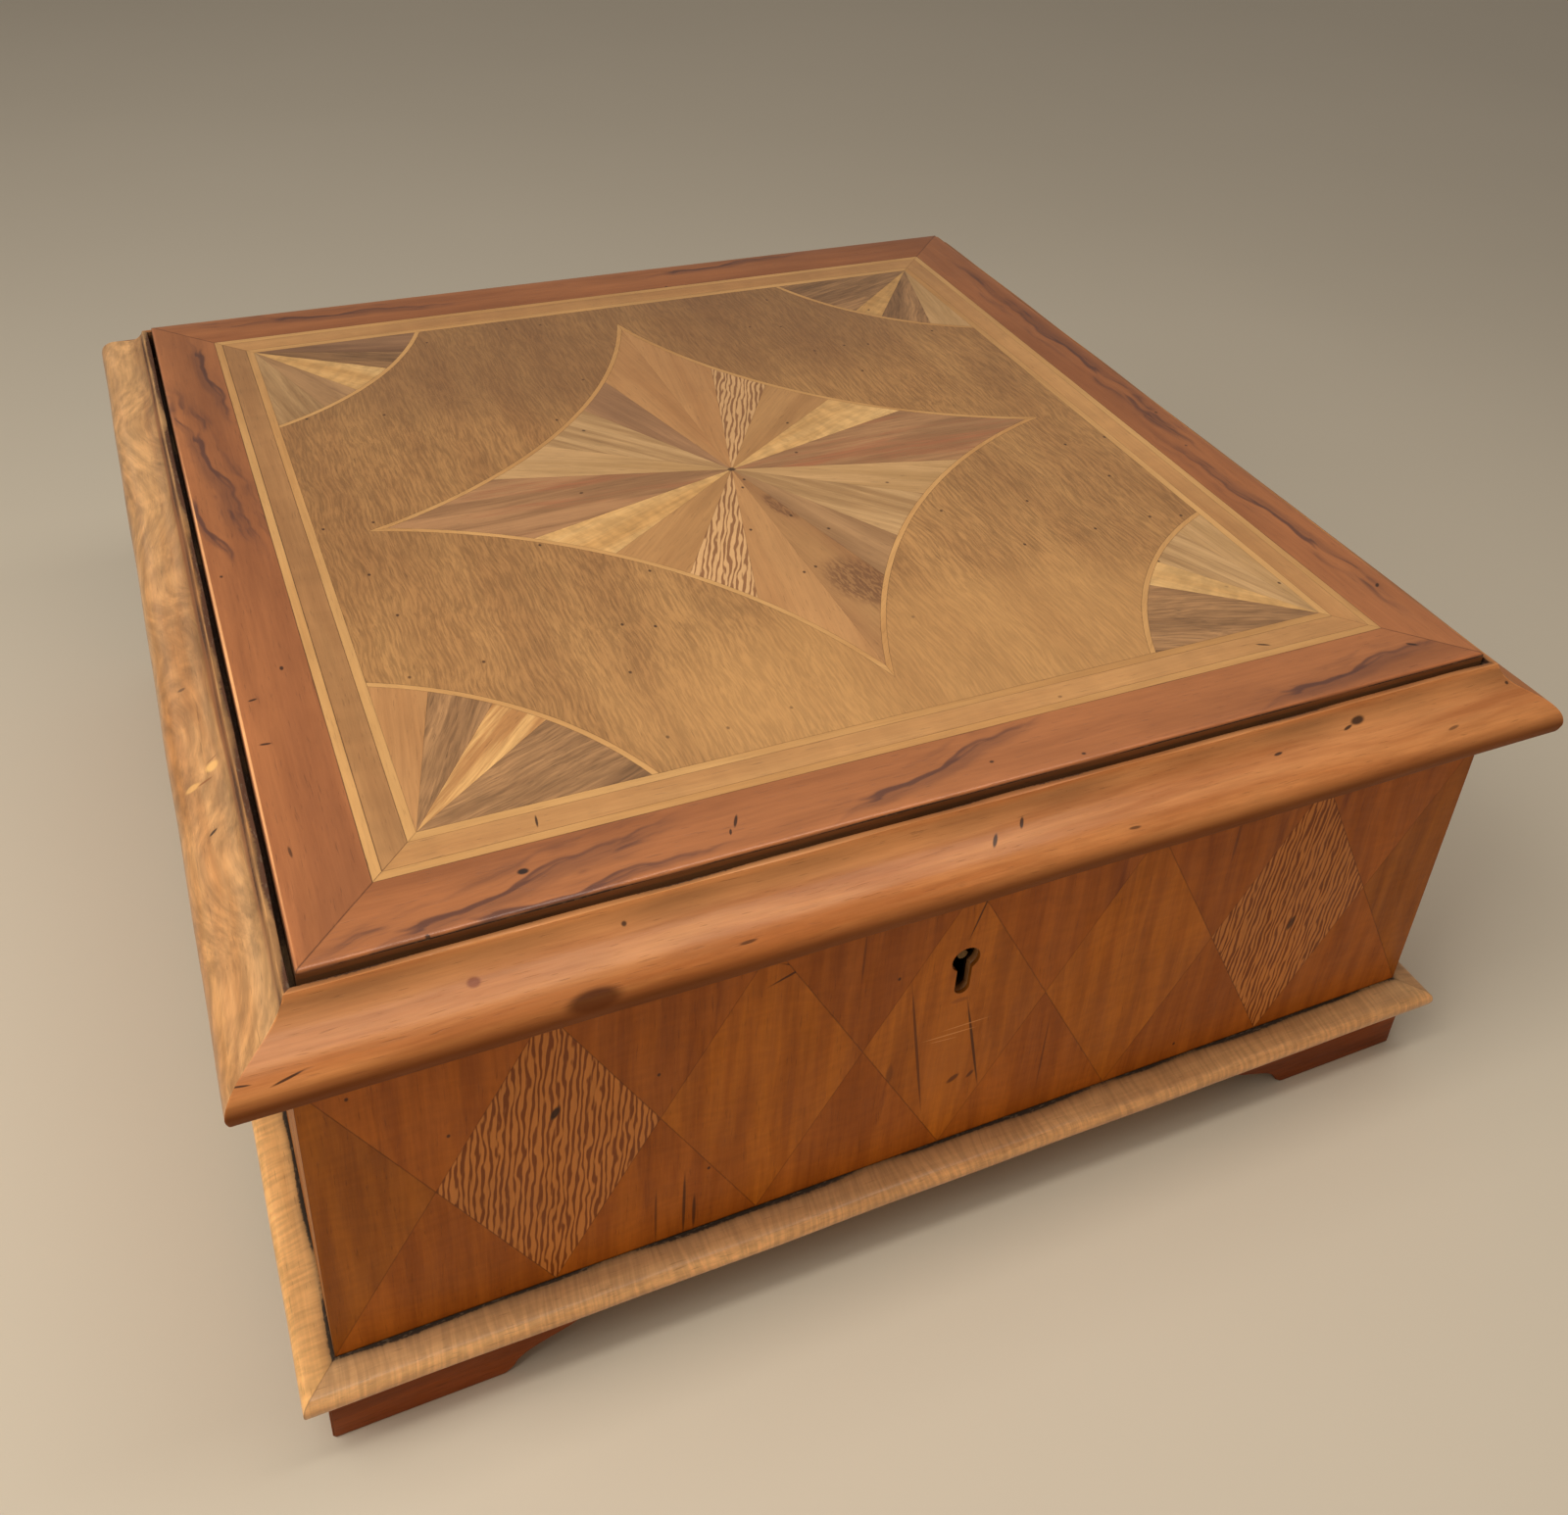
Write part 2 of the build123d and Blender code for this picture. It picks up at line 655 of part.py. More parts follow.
def great_wheel():
    gear = along_x(gear_face(GREAT_TEETH, FINE, 0.0), 68.0, 70.5, CYL_Y, CYL_Z)
    for i in range(5):
        a = radians(36 + 72 * i)
        gear -= rod_x(67, 72, CYL_Y + 12.2 * cos(a), CYL_Z + 12.2 * sin(a), 5.0)
    gear += rod_x(CYL_X1 + 0.1, 73.0, CYL_Y, CYL_Z, COLLAR_R)
    return gear - rod_x(CYL_X1 - 1, 75, CYL_Y, CYL_Z, ARBOR_R)


def spring_barrel():
    drum = rod_x(BARREL_X0, BARREL_X1, BARREL_Y, BARREL_Z, BARREL_R)
    face = gear_face(BARREL_TEETH, COARSE, mesh_angle() + 180 + 180 / BARREL_TEETH)
    drum += along_x(face, BARREL_X1, BARREL_GEAR, BARREL_Y, BARREL_Z)
    drum += rod_x(BARREL_X0, BARREL_X0 + 1.6, BARREL_Y, BARREL_Z, BARREL_LIP)
    drum -= rod_x(BARREL_X0 - 1, BARREL_X1 - BARREL_FLOOR, BARREL_Y, BARREL_Z, BARREL_IN)
    return drum - rod_x(BARREL_X0 - 1, BARREL_GEAR + 1, BARREL_Y, BARREL_Z, WIND_R + RUN)


def barrel_cover():
    disc = rod_x(BARREL_X0 - 1.6, BARREL_X0, BARREL_Y, BARREL_Z, BARREL_R)
    disc += rod_x(BARREL_X0, BARREL_X0 + 1.5, BARREL_Y, BARREL_Z, BARREL_IN)
    return disc - rod_x(BARREL_X0 - 3, BARREL_X0 + 3, BARREL_Y, BARREL_Z, WIND_R + RUN)


def barrel_arbor():
    core = rod_x(-114.0, -38.6, BARREL_Y, BARREL_Z, WIND_R)
    return core + rod_x(SPRING_X0 + 1, SPRING_X1 - 1, BARREL_Y, BARREL_Z, CORE_R)


def mainspring():
    """Coiled strip between the arbor and the barrel wall."""
    steps = 22
    count = SPRING_TURNS * steps
    inner = []
    outer = []
    for i in range(count + 1):
        a = 2 * pi * i / steps
        r = SPRING_IN + (SPRING_OUT - SPRING_IN) * i / count
        inner.append((r * cos(a), r * sin(a)))
        outer.append(((r + SPRING_THICK) * cos(a), (r + SPRING_THICK) * sin(a)))
    face = polygon(inner + outer[::-1])
    return along_x(face, SPRING_X0, SPRING_X1, BARREL_Y, BARREL_Z)


def barrel_brackets():
    outline = [(80, 32), (113, 32), (113, 70), (110, 76), (104, 76), (98, 67), (84, 67), (80, 60)]
    left = along_x(polygon(outline), BRACKET_X0, BRACKET_X1)
    left -= rod_x(BRACKET_X0 - 1, BRACKET_X1 + 1, BARREL_Y, BARREL_Z, WIND_R + RUN)
    stud = rod_x(RATCHET_X0 - 1.2, BRACKET_X0, CLICK_Y, CLICK_Z, CLICK_PIN)
    right = bridge(-43.4, -39.4, BARREL_Y, BARREL_Z, 7.0, WIND_R + RUN, 10.0)
    return Compound(children=[left + stud, right])


def ratchet_wheel():
    face = saw_face(RATCHET_TEETH, RATCHET_TIP, RATCHET_ROOT)
    wheel = along_x(face, RATCHET_X0, RATCHET_X1, BARREL_Y, BARREL_Z)
    return wheel - rod_x(RATCHET_X0 - 1, RATCHET_X1 + 1, BARREL_Y, BARREL_Z, WIND_R)


def click():
    outline = [(95.6, 69.45), (107.6, 68.9), (108.2, 73.6), (96.4, 71.2)]
    arm = along_x(polygon(outline), RATCHET_X0, RATCHET_X1)
    arm += rod_x(RATCHET_X0, RATCHET_X1, CLICK_Y, CLICK_Z, 3.2)
    return arm - rod_x(RATCHET_X0 - 1, RATCHET_X1 + 1, CLICK_Y, CLICK_Z, CLICK_PIN + RUN)


def winding_lever():
    tip_y = BARREL_Y - LEVER_LONG
    outline = [
        (BARREL_Y, BARREL_Z - 6), (tip_y, BARREL_Z - 3.2),
        (tip_y, BARREL_Z + 3.2), (BARREL_Y, BARREL_Z + 6),
    ]
    arm = along_x(polygon(outline), LEVER_X0, LEVER_X1)
    arm += rod_x(LEVER_X0, LEVER_X1, BARREL_Y, BARREL_Z, 8.0)
    arm += rod_x(LEVER_X0, LEVER_X1, tip_y, BARREL_Z, 4.4)
    knob = rod_x(LEVER_X1, -95.0, tip_y, BARREL_Z, KNOB_R)
    knob = fillet(knob.edges().group_by(Axis.X)[-1], 2.6)
    return arm + knob - rod_x(LEVER_X0 - 1, LEVER_X1 + 1, BARREL_Y, BARREL_Z, WIND_R)


def governor_frame():
    """Base, two plates for the worm wheel, a foot bearing and a cock for the fly."""
    base = block(GOV_X0, GOV_X1, 80.0, 115.5, BED_TOP, 35.0)
    outline = [(80, 32), (108, 32), (108, 58), (102, 64), (84, 64), (80, 60)]
    for x in (GOV_X0, GOV_X1 - GOV_PLATE):
        base += along_x(polygon(outline), x, x + GOV_PLATE)
    base += block(GOV_X0 + 1.8, GOV_X1 - 1.8, 97.0, 106.0, 40.0, 45.0)
    base += block(75.0, 79.5, 111.5, 115.5, BED_TOP, COCK_HIGH)
    base += block(75.0, 79.5, 98.5, 115.5, COCK_LOW, COCK_HIGH)
    base -= rod_x(GOV_X0 - 1, GOV_X1 + 1, GOV_Y, GOV_Z, GOV_R + RUN)
    base -= rod_z(39, 46, FLY_X, FLY_Y, FLY_R + RUN)
    return base - rod_z(COCK_LOW - 1, COCK_HIGH + 1, FLY_X, FLY_Y, FLY_R + RUN)


def governor_arbor():
    arbor = rod_x(66.8, 84.4, GOV_Y, GOV_Z, GOV_R)
    pinion = along_x(gear_face(GOV_TEETH, FINE, 180 + 180 / GOV_TEETH), 67.6, 70.8, GOV_Y, GOV_Z)
    wheel = along_x(gear_face(WORM_WHEEL_TEETH, FINE, 0.0), 76.0, 78.5, GOV_Y, GOV_Z)
    for i in range(4):
        a = radians(45 + 90 * i)
        wheel -= rod_x(75, 80, GOV_Y + 6.8 * cos(a), GOV_Z + 6.8 * sin(a), 2.7)
    hub = rod_x(75.2, 79.4, GOV_Y, GOV_Z, 2.6)
    return arbor + pinion + wheel + hub


def fly():
    """Upright arbor with the worm's core, a hub and one flat two-ended blade."""
    arbor = rod_z(FLY_LOW, FLY_HIGH, FLY_X, FLY_Y, FLY_R)
    arbor += rod_z(47.0, 66.0, FLY_X, FLY_Y, 1.5)
    arbor += rod_z(69.4, 80.2, FLY_X, FLY_Y, 1.9)
    blade = block(FLY_X - BLADE, FLY_X + BLADE, FLY_Y - 0.3, FLY_Y + 0.3, BLADE_LOW, BLADE_HIGH)
    return arbor + blade


def comb_root(i):
    """Root line of the tooth slots: long bass teeth, short treble teeth."""
    return COMB_ROOT + COMB_RISE * i / TEETH


def comb():
    half = COMB_SLOT / 2
    first = COMB_X0 - 1.4
    last = COMB_X0 + PITCH * TEETH + 1.2
    points = [(first, COMB_BACK), (first, COMB_TIP)]
    for i in range(TEETH + 1):
        x = COMB_X0 + PITCH * i
        root = comb_root(i)
        points += [(x - half, COMB_TIP), (x - half, root), (x + half, root), (x + half, COMB_TIP)]
    points += [(last, COMB_TIP), (last, COMB_BACK)]
    plate = Pos(0, 0, COMB_LOW) * extrude(polygon(points), COMB_THICK)
    for x in COMB_SCREW_X:
        plate -= rod_z(COMB_LOW - 1, COMB_LOW + 3, x, COMB_SCREW_Y, 1.6)
    return plate


def comb_base():
    body = block(-37, 67, COMB_BACK, 23, BED_TOP, COMB_LOW)
    body -= block(-40, 70, 17, 30, 40, 49)
    for x in COMB_SCREW_X:
        body -= rod_z(48, COMB_LOW + 1, x, COMB_SCREW_Y, 1.5)
    return body


def comb_screws():
    screws = []
    seat = COMB_LOW + COMB_THICK
    for x in COMB_SCREW_X:
        shank = rod_z(49.5, seat, x, COMB_SCREW_Y, 1.45)
        head = rod_z(seat, seat + 2.2, x, COMB_SCREW_Y, 3.0)
        head -= block(x - 3.2, x + 3.2, COMB_SCREW_Y - 0.4, COMB_SCREW_Y + 0.4, seat + 1.2, seat + 3)
        screws.append(shank + head)
    return Compound(children=screws)


def stop_lever():
    """Flat lever with a button for the finger and a wire that catches the fly."""
    arm = block(STOP_X - 2, STOP_X + 2, 20, 101, STOP_LOW, STOP_HIGH)
    arm += rod_z(STOP_LOW, STOP_HIGH, STOP_X, STOP_Y, 4.0)
    arm += rod_z(STOP_HIGH, 45.0, STOP_X, 22, 2.6)
    arm += rod_z(STOP_HIGH, 76.0, STOP_X, 99, 0.8)
    return arm - rod_z(STOP_LOW - 1, STOP_HIGH + 1, STOP_X, STOP_Y, STOP_PIN + RUN)


# ------------------------------------------------------------ everything
for name in SIDES:
    save(wall(name), name + "_wall")
    save(wall_veneer(name), name + "_veneer")
    save(base_moulding(name), name + "_base_moulding")
    save(lid_moulding(name), name + "_lid_moulding")

for label, turn in (("foot_back_right", 0), ("foot_back_left", 90), ("foot_front_left", 180),
                    ("foot_front_right", 270)):
    save(foot(turn), label)

save(block(-WALL_IN, WALL_IN, -WALL_IN, WALL_IN, BOARD_LOW, BOARD_TOP), "bottom_board")
save(block(-WALL_IN, WALL_IN, PARTITION_FRONT, PARTITION_BACK, BOARD_TOP, PARTITION_TOP), "partition")
save(lid_board(), "lid_board")
save(lid_border(), "lid_border")
save(ring(LINE_OUT, LINE_IN, TOP_BOARD, TOP), "lid_banding")
save(lid_stringing(), "lid_stringing")
save(lid_field(), "lid_field")
save(lid_star(), "lid_star")
save(lid_fans(), "lid_fans")

gap = KNUCKLE_HALF + 0.2
save(hinge_leaves(LEAF_LOW, RIM, [(-LEAF_HALF, -gap), (gap, LEAF_HALF)], 1), "hinge_leaves_case")
save(hinge_leaves(LID_BOTTOM, LEAF_HIGH, [(-KNUCKLE_HALF, KNUCKLE_HALF)], -1), "hinge_leaves_lid")
save(hinge_pins(), "hinge_pins")
save(hinge_screw_set(1), "hinge_screws_case")
save(hinge_screw_set(-1), "hinge_screws_lid")

save(lock_case(), "lock_case")
save(lock_bolt(), "lock_bolt")
save(lock_link_plate(), "lock_link_plate")

save(bedplate(), "bedplate")
save(bedplate_posts(), "bedplate_posts")
save(cylinder_bridges(), "cylinder_bridges")
save(cylinder(), "cylinder")
save(cylinder_arbor(), "cylinder_arbor")
save(cylinder_pinion(), "cylinder_pinion")
save(great_wheel(), "great_wheel")
save(spring_barrel(), "spring_barrel")
save(barrel_cover(), "barrel_cover")
save(barrel_arbor(), "barrel_arbor")
save(mainspring(), "mainspring")
save(barrel_brackets(), "barrel_brackets")
save(ratchet_wheel(), "ratchet_wheel")
save(click(), "click")
save(winding_lever(), "winding_lever")
save(governor_frame(), "governor_frame")
save(governor_arbor(), "governor_arbor")
save(fly(), "fly")
save(comb(), "comb")
save(comb_base(), "comb_base")
save(comb_screws(), "comb_screws")
save(stop_lever(), "stop_lever")
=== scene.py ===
import math
import random
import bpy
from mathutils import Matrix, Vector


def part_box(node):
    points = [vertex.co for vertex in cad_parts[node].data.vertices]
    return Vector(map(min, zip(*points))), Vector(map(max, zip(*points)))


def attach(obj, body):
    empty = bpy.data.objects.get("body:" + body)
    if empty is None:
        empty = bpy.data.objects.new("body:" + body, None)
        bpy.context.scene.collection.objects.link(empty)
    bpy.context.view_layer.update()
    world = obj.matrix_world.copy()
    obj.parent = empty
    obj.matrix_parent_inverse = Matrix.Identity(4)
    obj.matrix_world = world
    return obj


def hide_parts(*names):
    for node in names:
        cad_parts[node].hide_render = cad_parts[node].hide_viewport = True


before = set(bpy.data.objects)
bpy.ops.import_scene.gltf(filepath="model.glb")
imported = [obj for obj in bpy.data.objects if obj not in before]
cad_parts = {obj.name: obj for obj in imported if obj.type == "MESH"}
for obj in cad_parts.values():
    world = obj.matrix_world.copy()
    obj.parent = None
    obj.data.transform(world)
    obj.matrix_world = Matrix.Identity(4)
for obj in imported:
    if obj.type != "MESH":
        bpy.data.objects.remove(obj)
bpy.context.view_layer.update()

import zlib

import bpy
import bmesh
from mathutils import Euler, Vector
from mathutils.geometry import tessellate_polygon

# Lengths in this script are millimetres unless a name says otherwise; MM turns them into metres.
MM = 0.001


def box_mm(node):
    """The lowest and highest corners of a CAD node's box."""
    return [Vector(c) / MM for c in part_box(node)]


def corner(node, which, axis):
    """One coordinate of a CAD node's box; which is 0 for the lowest and 1 for the highest."""
    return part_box(node)[which][axis] / MM


# ------ sizes, from the frame
TOP = corner("lid_border", 1, 2)
TOP_BOARD = corner("lid_border", 0, 2)
TOP_HALF = corner("lid_border", 1, 0)
BORDER_IN = corner("lid_stringing", 1, 0)
LINE_OUT = corner("lid_banding", 1, 0)
FIELD = corner("lid_field", 1, 0)
LINE_IN = FIELD + (BORDER_IN - LINE_OUT)
SKIN = TOP - TOP_BOARD
BODY_OUT = -corner("front_veneer", 0, 1)
RIM = corner("front_veneer", 1, 2)
BASE_TOP = corner("front_veneer", 0, 2)
WALL_OUT = corner("back_wall", 1, 1)
WALL_IN = corner("bottom_board", 1, 0)
FOOT_OUT = corner("foot_back_right", 1, 0)
FOOT_TOP = corner("foot_back_right", 1, 2)
FOOT_THICK = 9.0

STRING = 1.3  # width of the light line round the star and the fans
ARC_CENTRE = 130.6  # centres of the star's hollow edges, on the diagonals
ARC_R = 137.7
FAN_BACK = 45.2  # centres of the fan arcs, outside the field's corners
FAN_R = 82.9
LOZENGES = 6
LOZENGE = 2 * BODY_OUT / LOZENGES
LOZENGE_LOW = 21.65
LOZENGE_HIGH = 98.15
LOZENGE_MID = (LOZENGE_LOW + LOZENGE_HIGH) / 2
KEY_Z = 77.9
KEY_R = 3.15
KEY_SLOT = 1.7  # half width of the keyhole's slot
KEY_LOW = 68.3
HINGE_X = 75.0  # the two hinges stand this far left and right of the middle
GAP = 0.015  # each veneer stops this far short of the drawn joint
JOINT = 0.2  # width over which a joint darkens the veneer

SIDES = {  # direction along each side, seen from outside, and outwards
    "front": ((1, 0), (0, -1)),
    "right": ((0, 1), (1, 0)),
    "back": ((-1, 0), (0, 1)),
    "left": ((0, -1), (-1, 0)),
}


# ------ shader helpers
def srgb(r, g, b):
    """A colour given as 0-255 screen values, in linear light."""
    def linear(c):
        c /= 255
        return c / 12.92 if c <= 0.04045 else ((c + 0.055) / 1.055) ** 2.4
    return (linear(r), linear(g), linear(b), 1.0)


class Graph:
    """A material's node tree, with one short method for each kind of node used."""

    def __init__(self, name):
        self.material = bpy.data.materials.new(name)
        self.material.use_nodes = True
        self.tree = self.material.node_tree
        self.shader = self.tree.nodes["Principled BSDF"]

    def node(self, kind, inputs, **settings):
        """A new node. inputs gives its sockets values, or other nodes' outputs."""
        made = self.tree.nodes.new("ShaderNode" + kind)
        for key, value in settings.items():
            setattr(made, key, value)
        self.feed(made, inputs)
        return made.outputs

    def feed(self, node, inputs):
        for socket, value in inputs.items():
            if isinstance(value, bpy.types.NodeSocket):
                self.tree.links.new(value, node.inputs[socket])
            else:
                node.inputs[socket].default_value = value

    def surface(self, **inputs):
        """Feed the material's shader; an input's name has underscores for its spaces."""
        self.feed(self.shader, {name.replace("_", " "): value for name, value in inputs.items()})

    def attribute(self, name, output="Fac"):
        return self.node("Attribute", {}, attribute_name=name)[output]

    def place(self):
        return self.node("TexCoord", {})["Object"]

    def math(self, operation, a, b=0.0, clamp=False):
        return self.node("Math", {0: a, 1: b}, operation=operation, use_clamp=clamp)[0]

    def times(self, a, b, clamp=False):
        return self.math("MULTIPLY", a, b, clamp)

    def plus(self, a, b):
        return self.math("ADD", a, b)

    def minus(self, a, b):
        return self.math("SUBTRACT", a, b)

    def stretch(self, vector, scale, shift=(0, 0, 0)):
        return self.node("Mapping", {"Vector": vector, "Location": shift, "Scale": scale})[0]

    def place_from(self, centre, turn, radii=(1, 1, 1)):
        """The object's place seen from a centre, turned, and measured in radii; in mm if they are 1."""
        return self.node("Mapping", {
            "Vector": self.place(), "Location": [c * MM for c in centre],
            "Rotation": [math.radians(t) for t in turn], "Scale": [r * MM for r in radii],
        }, vector_type="TEXTURE")[0]

    def length(self, vector):
        return self.node("VectorMath", {0: vector}, operation="LENGTH")["Value"]

    def part(self, vector, axis):
        return self.node("SeparateXYZ", {0: vector})[axis]

    def noise(self, vector, detail=3.0, rough=0.55, warp=0.0):
        return self.node("TexNoise", {"Vector": vector, "Scale": 1.0, "Detail": detail, "Roughness": rough,
                                      "Distortion": warp})["Fac"]

    def drawn(self, vector, along, across, detail=3.0, rough=0.55):
        """Noise drawn out along the vector's first axis, with so many cells per unit each way."""
        return self.noise(self.stretch(vector, (along, across, across)), detail, rough)

    def warped(self, vector, scale, amount):
        """The vector pushed about by soft noise, amount in the vector's own units."""
        soft = self.node("TexNoise", {"Vector": vector, "Scale": scale, "Detail": 1.0})["Color"]
        centred = self.node("VectorMath", {0: soft, 1: (0.5, 0.5, 0.5)}, operation="SUBTRACT")[0]
        return self.node("VectorMath", {0: centred, 1: (amount, amount, amount), 2: vector},
                         operation="MULTIPLY_ADD")[0]

    def cells(self, vector):
        """Flat random cells: how far each point is from its cell's centre, and a number for each cell."""
        made = self.node("TexVoronoi", {"Vector": vector, "Scale": 1.0}, voronoi_dimensions="2D")
        return made["Distance"], self.node("SeparateColor", {0: made["Color"]})[0]

    def between(self, value, low, high, out_low=0.0, out_high=1.0, smooth=True):
        return self.node("MapRange", {
            "Value": value, "From Min": low, "From Max": high, "To Min": out_low, "To Max": out_high,
        }, clamp=True, interpolation_type="SMOOTHSTEP" if smooth else "LINEAR")[0]

    def mix(self, factor, a, b):
        return self.node("Mix", {"Factor": factor, 6: a, 7: b}, data_type="RGBA")[2]

    def stain(self, colour, amount, screen_colour):
        return self.mix(amount, colour, srgb(*screen_colour))

    def tint(self, colour, factor):
        """Multiply a colour by a number."""
        return self.node("VectorMath", {0: colour, "Scale": factor}, operation="SCALE")[0]

    def vary(self, colour, value, low, high, amount):
        """The colour made darker and lighter by the amount, as the value goes from low to high."""
        return self.tint(colour, self.between(value, low, high, 1 - amount, 1 + amount, smooth=False))

    def bump(self, height, distance_mm, strength):
        made = self.node("Bump", {"Strength": strength, "Distance": distance_mm * MM, "Height": height})
        self.surface(Normal=made[0])

    def spot(self, centre, radii, turn):
        """1 in the middle of an ellipsoid given in mm, falling to 0 at its surface."""
        return self.between(self.length(self.place_from(centre, turn, radii)), 0.5, 1.0, 1.0, 0.0)


# ------ woods
INK = (48, 26, 16)  # wax and dirt in a dent
VEIN_BROWN = (88, 54, 46)
RAY_BROWN = (112, 72, 46)
# painted shade with an orange cast of bounced light, for the lower face of a moulding
LOW_SHADE_ORANGE = (110, 56, 16)
DUST = (112, 92, 72)


def strokes(g, grain, size, low, high, warp=(0.05, 1.5), detail=2.0):
    """Noise drawn out along the grain; size is the strokes' length and width in mm."""
    length, width = size
    return g.between(g.drawn(g.warped(grain, *warp), 1 / length, 1 / width, detail), low, high)


def fleck_colour(g, grain, light, dark):
    """Silky oak: wavy pale ray flecks, 1.2 mm apart and tapered, between thin brown lines."""
    sway = g.drawn(grain, 0.12, 0.40, 1.5)
    phase = g.plus(g.times(g.part(grain, 1), 5.2), g.times(sway, 13.0))
    broken = g.drawn(grain, 0.19, 1.3, 1.0)
    fleck = g.between(g.plus(g.math("SINE", phase), g.times(broken, 3.6)), 1.05, 2.05)
    return g.mix(fleck, dark, light), fleck


def vein(g, zone):
    """Dark wandering veins inside an ellipse that is given by centre, radii and turn."""
    (x, y), (long, wide), turn = zone
    flat = g.place_from((x, y, TOP), (0, 0, turn))
    bent = g.warped(g.warped(flat, 0.045, 6.0), 0.16, 1.6)
    far = g.length(g.stretch(bent, (1 / long, 1 / wide, 0)))
    inside = g.between(far, 0.62, 1.05, 1.0, 0.0)
    band = g.between(g.drawn(bent, 0.012, 0.24, 3.0), 0.40, 0.60)
    line = g.between(g.drawn(bent, 0.02, 0.8, 2.0), 0.40, 0.58, 0.45, 1.0)
    return g.times(inside, g.times(band, line))


def wood(name, light, dark, fibre=0.10, bands=1.0, band_size=(140.0, 12.0), ripple=0.0,
         ripple_size=(6.0, 50.0), streak=None, streak_at=(0.56, 0.66), lines=0.0, line_size=(9.0, 0.9),
         swirl=0.0, pores=0.25, specks=0.0, flecks=False, rays=(), gloss=0.36, coat=0.25,
         shaded_below=None, joint=(60, 34, 18), dirt_and_shade=(74, 40, 20), marks=(), veins=()):
    """A waxed wood. Colours are 0-255 screen values; the grain attribute runs along the fibres, in mm.
    Below a given height the wood is painted darker and redder: painted shade with the orange cast of bounced
    light."""
    g = Graph(name)
    grain = g.attribute("grain", "Vector")
    length, width = band_size
    tone = g.drawn(g.warped(grain, 0.02, 6.0), 1 / length, 1 / width, 5.0, 0.62)
    if flecks:
        colour, height = fleck_colour(g, grain, srgb(*light), srgb(*dark))
    else:
        share = g.between(tone, 0.5 - 0.20 / bands, 0.5 + 0.20 / bands)
        colour, height = g.mix(share, srgb(*dark), srgb(*light)), tone
    if ripple:
        wave = strokes(g, grain, ripple_size, 0.32, 0.68, (0.035, 9.0))
        colour = g.vary(colour, wave, 0.0, 1.0, ripple)
    if lines:
        height = strokes(g, grain, line_size, 0.36, 0.64, (0.05, 4.5), 3.0)
        colour = g.vary(colour, height, 0.0, 1.0, lines)
    if swirl:
        flow = g.warped(g.warped(grain, 0.018, 34.0), 0.05, 3.0)
        height = g.drawn(flow, 0.022, 0.55, 4.0, 0.62)
        colour = g.vary(colour, height, 0.38, 0.64, swirl)
    for zone in rays:
        ray = g.plus(g.times(strokes(g, grain, (2.2, 0.6), 0.42, 0.56), 0.45), 0.28)
        colour = g.stain(colour, g.times(g.spot(*zone), ray), RAY_BROWN)
    if streak:
        flow = g.stretch(g.warped(grain, 0.018, 9.0), (0.0075, 0.11, 0.11), (3.1, 0, 0))
        dark_line = g.between(g.noise(flow, 5.0, 0.62), *streak_at)
        threads = g.between(strokes(g, grain, (33, 1.1), 0.3, 0.6), 0, 1, 0.5, 1.0)
        colour = g.stain(colour, g.times(dark_line, threads), streak)
    for zone in veins:
        colour = g.stain(colour, g.times(vein(g, zone), 0.86), VEIN_BROWN)
    thread = g.drawn(g.warped(grain, 0.05, 1.2), 0.05, 1.7, 4.0, 0.72)
    colour = g.vary(colour, thread, 0.32, 0.68, fibre)
    pore = strokes(g, grain, (5.0, 0.32), 0.62, 0.74)
    colour = g.tint(colour, g.minus(1.0, g.times(pore, pores)))
    if specks:
        far, number = g.cells(g.stretch(grain, (0.055, 0.075, 0.075)))
        lucky = g.between(number, 1 - specks, 1 - specks + 0.02)
        near = g.between(far, 0.014, 0.036, 1.0, 0.0)
        colour = g.stain(colour, g.times(g.times(lucky, near), 0.85), INK)
    smudge = g.drawn(grain, 0.03, 0.045, 4.0, 0.65)
    colour = g.tint(colour, g.between(smudge, 0.3, 0.7, 0.91, 1.07, smooth=False))
    colour = g.tint(colour, g.plus(1.0, g.attribute("tone")))
    # marks are dents and stains, and also patches of painted light on the field and along the border's left
    # arris
    for centre, radii, turn, strength, stain in marks:
        colour = g.stain(colour, g.times(g.spot(centre, radii, turn), strength), stain)
    shine = 1.0
    # painted shade: the lower face, turned away from the light, is painted darker and more orange
    if shaded_below:
        up = g.part(g.place(), 2)
        lower_shade = g.between(up, (shaded_below - 2.6) * MM, (shaded_below + 1.4) * MM, 0.8, 0.0)
        colour = g.stain(colour, lower_shade, LOW_SHADE_ORANGE)
        shine = g.minus(1.0, lower_shade)
    # adds dirt and wear, and the painted shade and painted highlights carried by the wear value
    colour, grime_and_shade, soiled_and_shaded = aged_and_lit(g, grain, colour, dirt_and_shade, joint)
    polish = g.drawn(grain, 0.04, 0.12, 4.0, 0.7)
    rough = g.between(polish, 0.3, 0.7, gloss - 0.07, gloss + 0.10, smooth=False)
    g.surface(Base_Color=colour, Roughness=g.plus(rough, g.times(soiled_and_shaded, 0.5)),
              Specular_IOR_Level=g.times(shine, 0.08 + 1.3 * coat), Coat_Weight=g.times(shine, coat),
              Coat_Roughness=0.2)
    relief = g.minus(g.times(thread, 0.35), g.times(pore, 0.6))
    relief = g.plus(relief, g.times(height, 0.5))
    g.bump(g.minus(relief, g.times(grime_and_shade, 0.8)), 0.06, 0.7)
    return g.material


